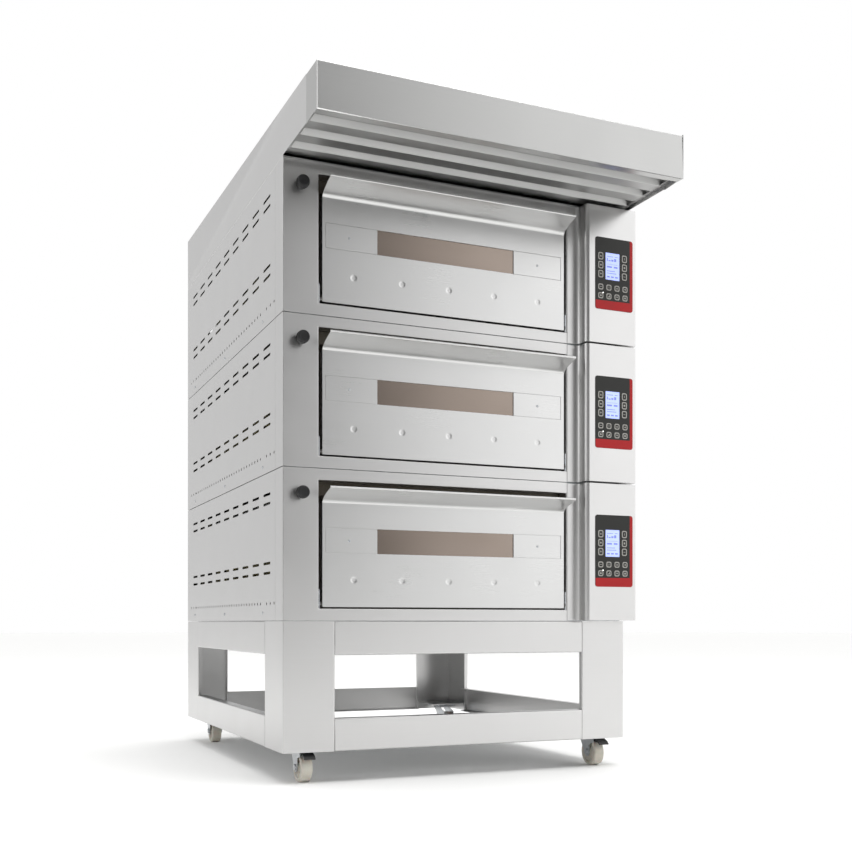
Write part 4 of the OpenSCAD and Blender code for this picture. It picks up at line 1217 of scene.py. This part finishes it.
class OVEN_OT_control_boxes(Operator):
    """Forms the control boxes with their hollow and rounded edge"""

    bl_idname = "oven.control_boxes"
    bl_label = "Control boxes"

    def execute(self, context):
        x0, x1 = BOX_LO.x, BOX_HI.x
        face = BOX_LO.y
        rear = BOX_HI.y
        strip, hollow, crest = 23.0, 13.0, 12.0
        screen = (SCREEN_LO.x + 6, SCREEN_HI.x - 6)
        flat_x0 = x0 + strip + hollow + crest
        line = (
            [(x0, Y_F + 6), (x0, Y_F + 1.2), (x0 + 0.4, Y_F + 0.4), (x0 + 1.2, Y_F)]
            + [(x0 + strip - 1, Y_F)]
            + arc(x0 + strip, Y_F - hollow, hollow, 90, 0, 14)
            + arc(flat_x0, face + crest, crest, 180, 270, 14)
            + [(screen[0], face), (screen[1], face)]
            + arc(x1 - 5, face + 5, 5, -90, 0, 8)
            + [(x1, rear - 4), (x1 - 0.6, rear - 1.2), (x1 - 2, rear), (X_R + 1, rear)]
        )
        column = next(i for i, p in enumerate(line) if p == (screen[0], face))
        for d in DECKS:
            base = BASE[d]
            z0, z1 = base + 2, base + DECK_H - 3
            sz0 = base + PAD_LO.z - BASE[1] + 82
            bm = bmesh.new()
            sweep(bm, line, "Z", (z0, sz0, sz0 + 75, z1), skip={(1, column)})
            make_piece(
                bm, f"control_box_formed_{d}", body_stainless(), "oven", [f"control_box_{d}"],
                outward=away_from(x1 - 30, Y_F + 30, (z0 + z1) / 2), sheet=0.0015,
            )
            caps = bmesh.new()
            inner = [(x0 + 1.7, Y_F + 1.7), (x0 + strip - 1, Y_F + 1.7)]
            inner += arc(x0 + strip, Y_F - hollow, hollow + 1.7, 90, 0, 10)
            inner += arc(flat_x0, face + crest, crest - 1.7, 180, 270, 8)
            inner += arc(x1 - 5, face + 5, 3.3, -90, 0, 5) + [(x1 - 1.7, rear - 1.8), (X_R + 1.2, rear - 1.8)]
            inner += [(X_R + 1.2, Y_F + 6)]
            for z in (z0 + 0.2, z1 - 1.7):
                sweep(caps, inner, "Z", (z, z + 1.5), closed=True)
            make_piece(caps, f"control_box_caps_{d}", body_stainless(), "oven", bevel=0.0003)
        return {"FINISHED"}


class OVEN_OT_keypads(Operator):
    """Prints the keypads: film, band, keys, plain marks, lamp and lit display"""

    bl_idname = "oven.keypads"
    bl_label = "Keypads"

    def execute(self, context):
        s = settings("control")
        black, red = film("polyester_film_black", s.film), film("polyester_film_red", s.band, 0.36)
        grey = film("polyester_film_grey", s.print_grey, 0.45)
        front = BOX_LO.y - 1.0
        x0, x1 = PAD_LO.x, PAD_HI.x
        height = 197.0
        screen_x0, screen_x1 = SCREEN_LO.x + 6.2, SCREEN_HI.x - 6.2
        key = s.key * MM
        column, row_step = 26.0, 24.0
        for d in DECKS:
            z0 = PAD_LO.z + BASE[d] - BASE[1]
            sz0, sz1 = z0 + 82, z0 + 157
            bm = bmesh.new()
            hole = rounded_rect(screen_x0 + 0.4, sz0 + 0.6, screen_x1 - 0.4, sz1 - 0.6, 1.2, 3)
            pierced(bm, rounded_rect(x0, z0, x1, z0 + height, 7), [hole], lambda u, v: (u, front, v))
            make_piece(
                bm, f"keypad_film_{d}", black, "oven", ["keypads"] if d == 1 else (),
                outward=along(0, -1, 0), sheet=0.0009,
            )
            band = bmesh.new()
            edge = arc(x0 + 7, z0 + 7, 7, 180, 270, 6) + arc(x1 - 7, z0 + 7, 7, 270, 360, 6)
            edge += arc(x1 - 7, z0 + height - 7, 7, 0, 60, 5)
            edge += [(x1 - 9.4, z0 + height - 0.1), (x1 - 9.4, z0 + 25), (x0, z0 + 24)]
            sweep(band, edge, "Y", (front - 0.12, front + 0.3), closed=True)
            make_piece(band, f"keypad_band_{d}", red, "oven", bevel=0.00005)
            grids = {
                "lower": (x0 + 17, z0 + 37, 4, (column, 0, 0), 2, (0, 0, row_step), key, key),
                "side": (x0 + 17, z0 + 96, 2, (screen_x1 + 15.2 - x0 - 17, 0, 0), 3, (0, 0, 24.5), key, 20.0),
            }
            for name, (x, z, columns, across, rows, up, w, h) in grids.items():
                plate = bmesh.new()
                sweep(plate, rounded_rect(x - w / 2, z - h / 2, x + w / 2, z + h / 2, 4.5, 4), "Y",
                      (front - 0.45, front + 0.2), closed=True)
                make_piece(
                    plate, f"keypad_keys_{name}_{d}", grey, "oven", bevel=0.0002,
                    nodes=rows_of(grey, columns, across, rows, up),
                )
                well = bmesh.new()
                w, h = w - 5.5, h - 5.5
                sweep(well, rounded_rect(x - w / 2, z - h / 2, x + w / 2, z + h / 2, 2.5, 4), "Y",
                      (front - 0.52, front), closed=True)
                make_piece(
                    well, f"keypad_key_centres_{name}_{d}", black, "oven", bevel=0.00005,
                    nodes=rows_of(black, columns, across, rows, up),
                )
            self.marks(d, x0, z0, front, column, row_step, screen_x1, grey)
            self.display(d, screen_x0, screen_x1, sz0, sz1)
        return {"FINISHED"}

    def marks(self, d, x0, z0, front, column, row_step, screen_x1, ink):
        """Plain marks on the key centres: bars, arrows, rings and crosses."""
        bm = bmesh.new()

        def mark(x, z, points):
            sweep(bm, [(x + u, z + v) for u, v in points], "Y", (front - 0.6, front - 0.2), closed=True)

        bar = rectangle(-3, -0.7, 3, 0.7)
        post = rectangle(-0.7, -3, 0.7, 3)
        up = [(-3, -2), (3, -2), (0, 3)]
        down = [(-3, 2), (0, -3), (3, 2)]
        left = [(2, -3), (2, 3), (-3, 0)]
        disc = arc(0, 0, 2.6, 0, 360, 14)[:-1]
        square = rectangle(-2.4, -2.4, 2.4, 2.4)
        stair = [(-3, -3), (3, -3), (3, 3), (1, 3), (1, 1), (-1, 1), (-1, -1), (-3, -1)]
        lower = [disc, stair, down, square, bar, post, up, left]
        for i, shape in enumerate(lower):
            mark(x0 + 17 + column * (i % 4), z0 + 37 + row_step * (i // 4), shape)
        side = [down, disc, up, bar, square, post]
        for i, shape in enumerate(side):
            mark((x0 + 17, screen_x1 + 15.2)[i // 3], z0 + 96 + 24.5 * (i % 3), shape)
        make_piece(bm, f"keypad_marks_{d}", ink, "oven")
        lamp = bmesh.new()
        lathe(lamp, [(0, -0.9), (0.9, -0.85), (1.6, -0.6), (1.9, -0.1), (1.9, 0.2), (0, 0.2)], "Y",
              (x0 + 24.5, front, z0 + 45.5), 20)
        lens = lit("white_signal_lens", (1.0, 1.0, 0.96), 1.2)
        make_piece(lamp, f"keypad_lamp_{d}", lens, "oven")

    def display(self, d, x0, x1, z0, z1):
        """Lit panel behind its window, with plain dark bars and a module behind."""
        s = settings("control")
        front = BOX_LO.y - 0.35
        bm = bmesh.new()
        slab(bm, x0, x1, front, BOX_LO.y + 1.9, z0 + 0.2, z1 - 0.2)
        make_piece(
            bm, f"display_panel_{d}", lit("backlit_display", s.screen, 0.55), "oven",
            ["displays"] if d == 1 else (), bevel=0.0002,
        )
        bars = bmesh.new()
        for u, v, w, h in (
            (5, 64, 20, 1.6), (30, 64, 9, 1.6), (5, 52, 3, 8), (10, 52, 7, 3), (19, 52, 7, 5), (28, 52, 7, 8),
            (5, 43, 34, 0.8), (5, 34, 16, 4.5), (27, 34, 12, 4.5), (5, 24, 26, 1.8), (5, 18, 30, 1.8),
            (5, 7, 9, 4), (18, 7, 9, 4), (31, 7, 9, 4),
        ):
            slab(bars, x0 + u, x0 + u + w, front - 0.06, front + 0.1, z0 + v, z0 + v + h)
        make_piece(
            bars, f"display_bars_{d}", lit("display_dark_segments", linear("#6d78c8")[:3], 0.35), "oven",
        )
        module = bmesh.new()
        slab(module, x0 - 6, x1 + 6, BOX_LO.y + 2.1, BOX_LO.y + 9, z0 - 6, z1 + 6)
        make_piece(module, f"display_module_{d}", moulded_black(), "oven", bevel=0.0006)


# ---- Chambers, vents and services ----


class OVEN_OT_chambers(Operator):
    """Finishes the chambers: liners, wool, hearth stones, elements and lamps"""

    bl_idname = "oven.chambers"
    bl_label = "Chambers"

    def execute(self, context):
        for d in DECKS:
            coat(f"chamber_{d}", heat_tinted())
        coat("insulation", rock_wool())
        refined("hearth_stones", hearth_stone(), bevel=0.002)
        refined("heating_elements", element_sheath())
        refined("lamps", lamp_glass(), bevel=0.002)
        return {"FINISHED"}


class OVEN_OT_vents(Operator):
    """Turns the ribbed vent knobs and finishes the rods and flues"""

    bl_idname = "oven.vents"
    bl_label = "Vents"

    def execute(self, context):
        s = settings("vent")
        black = moulded_black()
        radius = s.knob_d * MM / 2
        for d in DECKS:
            lo, hi = box_mm(f"vent_knob_{d}")
            centre = ((lo.x + hi.x) / 2, Y_F, (lo.z + hi.z) / 2)
            out = Y_F - lo.y
            profile = [(0, 1), (radius - 4.4, 1), (radius - 4, 1.4), (radius - 3.2, 4), (radius - 4, 9.5),
                       (radius - 2.6, 13), (radius - 0.9, 15)]
            profile += arc(radius - 5, out - 5, 4.1, 0, 90, 8)[0:]
            profile = [(r, h) for r, h in profile] + [(radius - 6.2, out - 1.3), (radius - 8, out - 1.5), (0, out - 1.2)]
            knob = bmesh.new()
            lathe(knob, [(r, -h) for r, h in profile], "Y", centre, 64)
            body = f"vent_{d}"
            make_piece(knob, f"vent_knob_turned_{d}", black, body, [f"vent_knob_{d}"])
            rib = bmesh.new()
            slab(rib, -0.75, 0.75, -(out - 6), -15.5, radius - 2.2, radius - 0.05)
            make_piece(
                rib, f"vent_knob_ribs_{d}", black, body, bevel=0.0004,
                nodes=ring_of(black, s.ribs, (0, 1, 0), centre),
            )
            refined(f"vent_rod_{d}", bright_zinc(), bevel=0.0003)
        refined("steam_flues", body_stainless(), bevel=0.0003)
        return {"FINISHED"}


class OVEN_OT_services(Operator):
    """Finishes the cable glands and the electrical gear"""

    bl_idname = "oven.services"
    bl_label = "Cable glands and gear"

    def execute(self, context):
        refined("cable_glands", moulded_black(), bevel=0.0005)
        coat("electrical_gear", board_green())
        return {"FINISHED"}


# ---- Hood and fan ----


class OVEN_OT_hood(Operator):
    """Folds the hood's shell and front panel and sets its louvre blades"""

    bl_idname = "oven.hood"
    bl_label = "Hood"

    def execute(self, context):
        s, sheet = settings("hood"), settings("sheet")
        nose, rear = FASCIA_LO.y, Y_B
        split = FASCIA_HI.y
        z0, nose_z = FASCIA_LO.z, FASCIA_LO.z + 111
        rear_z = SHELL_HI.z
        slope = (rear_z - nose_z) / (rear - nose)

        def roof(y):
            return nose_z + slope * (y - nose)

        steel = body_stainless()
        bm = bmesh.new()
        front = [(X_L, nose, z0), (X_R, nose, z0), (X_R, nose, nose_z), (X_L, nose, nose_z)]
        quads = [front, [(X_L, nose, nose_z), (X_R, nose, nose_z), (X_R, split, roof(split)), (X_L, split, roof(split))]]
        flange = s.flange * MM
        for x in (X_L, X_R):
            quads.append(
                [(x, nose, z0), (x, nose, nose_z), (x, split, roof(split)), (x, split, z0), (x, nose + flange, z0)]
            )
        quads.append([(X_L, nose, z0), (X_R, nose, z0), (X_R, nose + flange, z0), (X_L, nose + flange, z0)])
        for quad in quads:
            bm.faces.new([bm.verts.new(p) for p in quad])
        fold_edges(bm, sheet.bend * MM)
        middle = away_from(X_MID, split + 60, (z0 + nose_z) / 2)
        make_piece(
            bm, "hood_fascia_folded", fascia_stainless_painted_shade(), "oven", ["hood_fascia"],
            outward=middle, sheet=sheet.skin
        )
        self.shell(s, sheet, split + 0.3, rear, roof, steel)
        self.louvres(s)
        return {"FINISHED"}

    def shell(self, s, sheet, y0, y1, roof, steel):
        floor = SHELL_LO.z
        bm = bmesh.new()
        lo, hi = box_mm("fan_impeller")
        duct = arc(X_MID, (lo.y + hi.y) / 2, s.duct_d * MM / 2 - 1.5, 0, 360, 64)[:-1]
        pierced(bm, rectangle(X_L, y0, X_R, y1), [duct], lambda u, v: (u, v, roof(v)))
        quads = [[(X_L, y1, floor), (X_R, y1, floor), (X_R, y1, roof(y1)), (X_L, y1, roof(y1))],
                 [(X_L, Y_F, floor), (X_R, Y_F, floor), (X_R, y1, floor), (X_L, y1, floor)]]
        for x in (X_L, X_R):
            quads.append([(x, y0, floor), (x, Y_F, floor), (x, y1, floor), (x, y1, roof(y1)), (x, y0, roof(y0))])
        for quad in quads:
            bm.faces.new([bm.verts.new(p) for p in quad])
        fold_edges(bm, sheet.bend * MM)
        make_piece(
            bm, "hood_shell_folded", steel, "oven", ["hood_shell"],
            outward=away_from(X_MID, (y0 + y1) / 2, floor + 60), sheet=sheet.skin,
        )

    def louvres(self, s):
        """Three bent blades, a front blade and a strip at each end."""
        steel = hood_inner_stainless_painted_shade()
        x0, x1, z = LOUVRE_LO.x, LOUVRE_HI.x, LOUVRE_LO.z
        half, pitch = s.slat * MM / 2, s.pitch * MM
        y = Y_F - 14 - 2 * pitch
        blade = bmesh.new()
        line = bent([(y + half, z + 4), (y + half, z), (y - half, z), (y - half - 13.6, z + 25.5)], 3, 5)
        sweep(blade, line, "X", (x0, x1))
        make_piece(
            blade, "hood_louvre_blades", steel, "oven", ["hood_louvres"],
            outward=along(0, -0.3, -1), sheet=0.0012,
            nodes=rows_of(steel, columns=3, column_step=(0, pitch, 0)),
        )
        fixed = bmesh.new()
        slab(fixed, x0, x1, LOUVRE_LO.y, y - half - (pitch - 2 * half), z, z + 1.2)
        for x in (x0, x1 - 10):
            slab(fixed, x, x + 10, LOUVRE_LO.y, LOUVRE_HI.y, z + 1.3, z + 2.5)
        make_piece(fixed, "hood_louvre_frame", steel, "oven", bevel=0.0003)


class OVEN_OT_fan(Operator):
    """Builds the exhaust fan: housing, bladed impeller and finned motor"""

    bl_idname = "oven.fan"
    bl_label = "Exhaust fan"

    def execute(self, context):
        s = settings("hood")
        refined("fan_housing", galvanised(), bevel=0.0004)
        zinc = bright_zinc()
        lo, hi = box_mm("fan_impeller")
        centre = Vector(((lo.x + hi.x) / 2, (lo.y + hi.y) / 2, lo.z))
        radius, height = s.fan_d * MM / 2, hi.z - lo.z
        hub = bmesh.new()
        plate = [(5.1, 0), (radius - 0.2, 0), (radius, 1), (radius - 0.2, 2), (40, 2), (30, 4), (16, 6), (14, 9),
                 (13.4, 20), (5.1, 20), (5.1, 0)]
        lathe(hub, plate, "Z", centre, 72)
        rim = [(radius - 14, height - 1.6), (radius - 1, height - 1.6), (radius - 0.6, height - 0.4),
               (radius - 14, height - 0.4), (radius - 14, height - 1.6)]
        lathe(hub, rim, "Z", centre, 72)
        make_piece(hub, "fan_impeller_turned", zinc, "impeller", ["fan_impeller"])
        blade = bmesh.new()
        curve = [(radius - 25 + 23 * t / 6, 9.5 * math.sin(1.9 * t / 6 - 0.95)) for t in range(7)]
        sweep(blade, curve, "Z", (1.5, height - 1))
        make_piece(
            blade, "fan_impeller_blades", zinc, "impeller", outward=along(1, 1, 0), sheet=0.001,
            nodes=ring_of(zinc, s.blades, (0, 0, 1), centre),
        )
        self.motor()
        return {"FINISHED"}

    def motor(self):
        enamel = motor_enamel()
        lo, hi = box_mm("fan_motor")
        centre = Vector(((lo.x + hi.x) / 2, (lo.y + hi.y) / 2, lo.z))
        radius = (hi.x - lo.x) / 2
        body_h = min(54.0, hi.z - lo.z - 30)
        case = bmesh.new()
        lathe(case, [(0, 0), (radius - 3, 0), (radius, 3), (radius, 9), (radius - 4, 11), (radius - 4, body_h - 10),
                     (radius, body_h - 8), (radius, body_h - 3), (radius - 6, body_h), (8, body_h + 1),
                     (5, body_h + 2), (5, hi.z - lo.z), (0, hi.z - lo.z)], "Z", centre, 64)
        make_piece(case, "fan_motor_case", enamel, "oven", ["fan_motor"])
        fin = bmesh.new()
        slab(fin, radius - 5, radius - 0.4, -0.8, 0.8, 10, body_h - 9)
        make_piece(
            fin, "fan_motor_fins", enamel, "oven", bevel=0.0003,
            nodes=ring_of(enamel, 28, (0, 0, 1), centre),
        )


# ---- Stage ----


class OVEN_OT_stage(Operator):
    """Sets the floor, the studio light and the camera"""

    bl_idname = "oven.stage"
    bl_label = "Stage"

    def execute(self, context):
        s = settings("stage")
        scene = context.scene
        scene.view_settings.view_transform = "Standard"
        bm = bmesh.new()
        radius = 40.0
        rim = [bm.verts.new((radius * math.cos(math.tau * i / 96), radius * math.sin(math.tau * i / 96), 0))
               for i in range(96)]
        bm.faces.new(rim)
        mesh = bpy.data.meshes.new("floor")
        bm.to_mesh(mesh)
        bm.free()
        floor = bpy.data.objects.new("floor", mesh)
        scene.collection.objects.link(floor)
        mesh.materials.append(self.floor_paint(s))
        self.sky(scene, s)
        self.lamp(scene, "key_light", (0.3, -0.8, 5.4), (0, -0.5, 0), 4.0, 170)
        self.lamp(scene, "fill_light", (-4.0, -1.5, 2.6), (0, 0, 0.9), 2.5, 25)
        data = bpy.data.cameras.new("camera")
        data.lens = s.lens
        data.sensor_width = 36
        data.shift_y = 0.2302
        camera = bpy.data.objects.new("camera", data)
        camera.location = (-1.2419, -3.0861, 0.40215)
        camera.rotation_euler = (math.radians(90), 0, math.radians(-23.25))
        scene.collection.objects.link(camera)
        scene.camera = camera
        return {"FINISHED"}

    def floor_paint(self, s):
        def surface(tree):
            mottle = add(
                tree, "ShaderNodeTexNoise", {"Vector": object_place(tree), "Scale": 3.0, "Detail": 4.0}
            ).outputs[0]
            tone = add(
                tree,
                "ShaderNodeMix",
                {0: mottle, 6: (*[c * 0.98 for c in s.floor], 1), 7: (*s.floor, 1)},
                data_type="RGBA",
            ).outputs[2]
            return add(
                tree, "ShaderNodeBsdfPrincipled",
                {"Base Color": tone, "Roughness": 0.85, "Specular IOR Level": 0.1},
            ).outputs[0]

        return finish("matt_floor_paint", surface)

    def sky(self, scene, s):
        """Soft studio surround: a dim side and a bright side, brighter overhead."""
        world = bpy.data.worlds.new("studio")
        world.use_nodes = True
        tree = world.node_tree
        tree.nodes.clear()
        way = add(
            tree, "ShaderNodeSeparateXYZ", {0: add(tree, "ShaderNodeTexCoord").outputs["Generated"]}
        ).outputs
        back = add(tree, "ShaderNodeMath", {0: way["Y"], 1: -1.0}, operation="MULTIPLY").outputs[0]
        turn = add(tree, "ShaderNodeMath", {0: way["X"], 1: back}, operation="ARCTAN2").outputs[0]
        share = add(
            tree, "ShaderNodeMapRange", {"Value": turn, "From Min": -math.pi, "From Max": math.pi}
        ).outputs[0]
        ramp = add(tree, "ShaderNodeValToRGB", {"Fac": share})
        stops = (
            (-180, 0.96), (-172, 0.86), (-160, 0.82), (-115, 0.72), (-60, 0.40), (-20, 0.22), (10, 0.10),
            (17, 0.16), (21, 0.75), (26, 1.65), (60, 1.75), (95, 1.3), (130, 1.0), (178, 1.0),
        )
        scale = 2.0  # ramp colours stay under one
        elements = ramp.color_ramp.elements
        while len(elements) < len(stops):
            elements.new(0.5)
        for element, (degrees, level) in zip(elements, stops):
            element.position = (degrees + 180) / 360
            element.color = (level / scale, level / scale, level / scale, 1)
        overhead = add(
            tree,
            "ShaderNodeMapRange",
            {"Value": way["Z"], "From Min": 0.6, "From Max": 0.98, "To Min": 0.0, "To Max": 1.0},
        ).outputs[0]
        round_about = add(
            tree, "ShaderNodeMath", {0: ramp.outputs[0], 1: scale * s.light}, operation="MULTIPLY"
        ).outputs[0]
        level = add(
            tree, "ShaderNodeMix", {0: overhead, 2: round_about, 3: 1.25 * s.light}, data_type="FLOAT"
        ).outputs[0]
        # the studio's wall itself is plain white from every side
        seen = add(tree, "ShaderNodeLightPath").outputs["Is Camera Ray"]
        level = add(tree, "ShaderNodeMix", {0: seen, 2: level, 3: 1.0}, data_type="FLOAT").outputs[0]
        shade = add(tree, "ShaderNodeBackground", {"Color": (1, 1, 1, 1), "Strength": level}).outputs[0]
        add(tree, "ShaderNodeOutputWorld", {"Surface": shade})
        scene.world = world

    def lamp(self, scene, name, place, target, side, power):
        data = bpy.data.lights.new(name, "AREA")
        data.shape = "SQUARE"
        data.size = side
        data.energy = power
        lamp = bpy.data.objects.new(name, data)
        lamp.location = place
        lamp.rotation_euler = (Vector(target) - Vector(place)).to_track_quat("-Z", "Y").to_euler()
        scene.collection.objects.link(lamp)


# ---- Panel and registration ----

SETTINGS = {
    "sheet": SheetSizes,
    "door": DoorSizes,
    "control": ControlSizes,
    "vent": VentSizes,
    "hood": HoodSizes,
    "castor": CastorSizes,
    "stage": StageSizes,
}
STEPS = (
    OVEN_OT_stage,
    OVEN_OT_stand,
    OVEN_OT_castors,
    OVEN_OT_covers,
    OVEN_OT_fronts,
    OVEN_OT_doors,
    OVEN_OT_control_boxes,
    OVEN_OT_keypads,
    OVEN_OT_chambers,
    OVEN_OT_vents,
    OVEN_OT_services,
    OVEN_OT_hood,
    OVEN_OT_fan,
)


class OVEN_PT_parts(Panel):
    """Lists the oven's parts and their sizes"""

    bl_idname = "OVEN_PT_parts"
    bl_label = "Deck oven"
    bl_space_type = "VIEW_3D"
    bl_region_type = "UI"
    bl_category = "Deck oven"

    def draw(self, context):
        for name, group_type in SETTINGS.items():
            box = self.layout.box()
            box.label(text=name.capitalize())
            for prop in group_type.__annotations__:
                box.prop(settings(name), prop)
        for step in STEPS:
            self.layout.operator(step.bl_idname)


def register():
    for cls in (*SETTINGS.values(), *STEPS, OVEN_PT_parts):
        bpy.utils.register_class(cls)
    for name, group_type in SETTINGS.items():
        setattr(bpy.types.Scene, "oven_" + name, PointerProperty(type=group_type))


def unregister():
    for name in SETTINGS:
        delattr(bpy.types.Scene, "oven_" + name)
    for cls in (OVEN_PT_parts, *reversed(STEPS), *reversed(list(SETTINGS.values()))):
        bpy.utils.unregister_class(cls)


def main():
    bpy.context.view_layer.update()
    register()
    for step in STEPS:
        family, action = step.bl_idname.split(".")
        getattr(getattr(bpy.ops, family), action)()


if __name__ == "__main__":
    main()
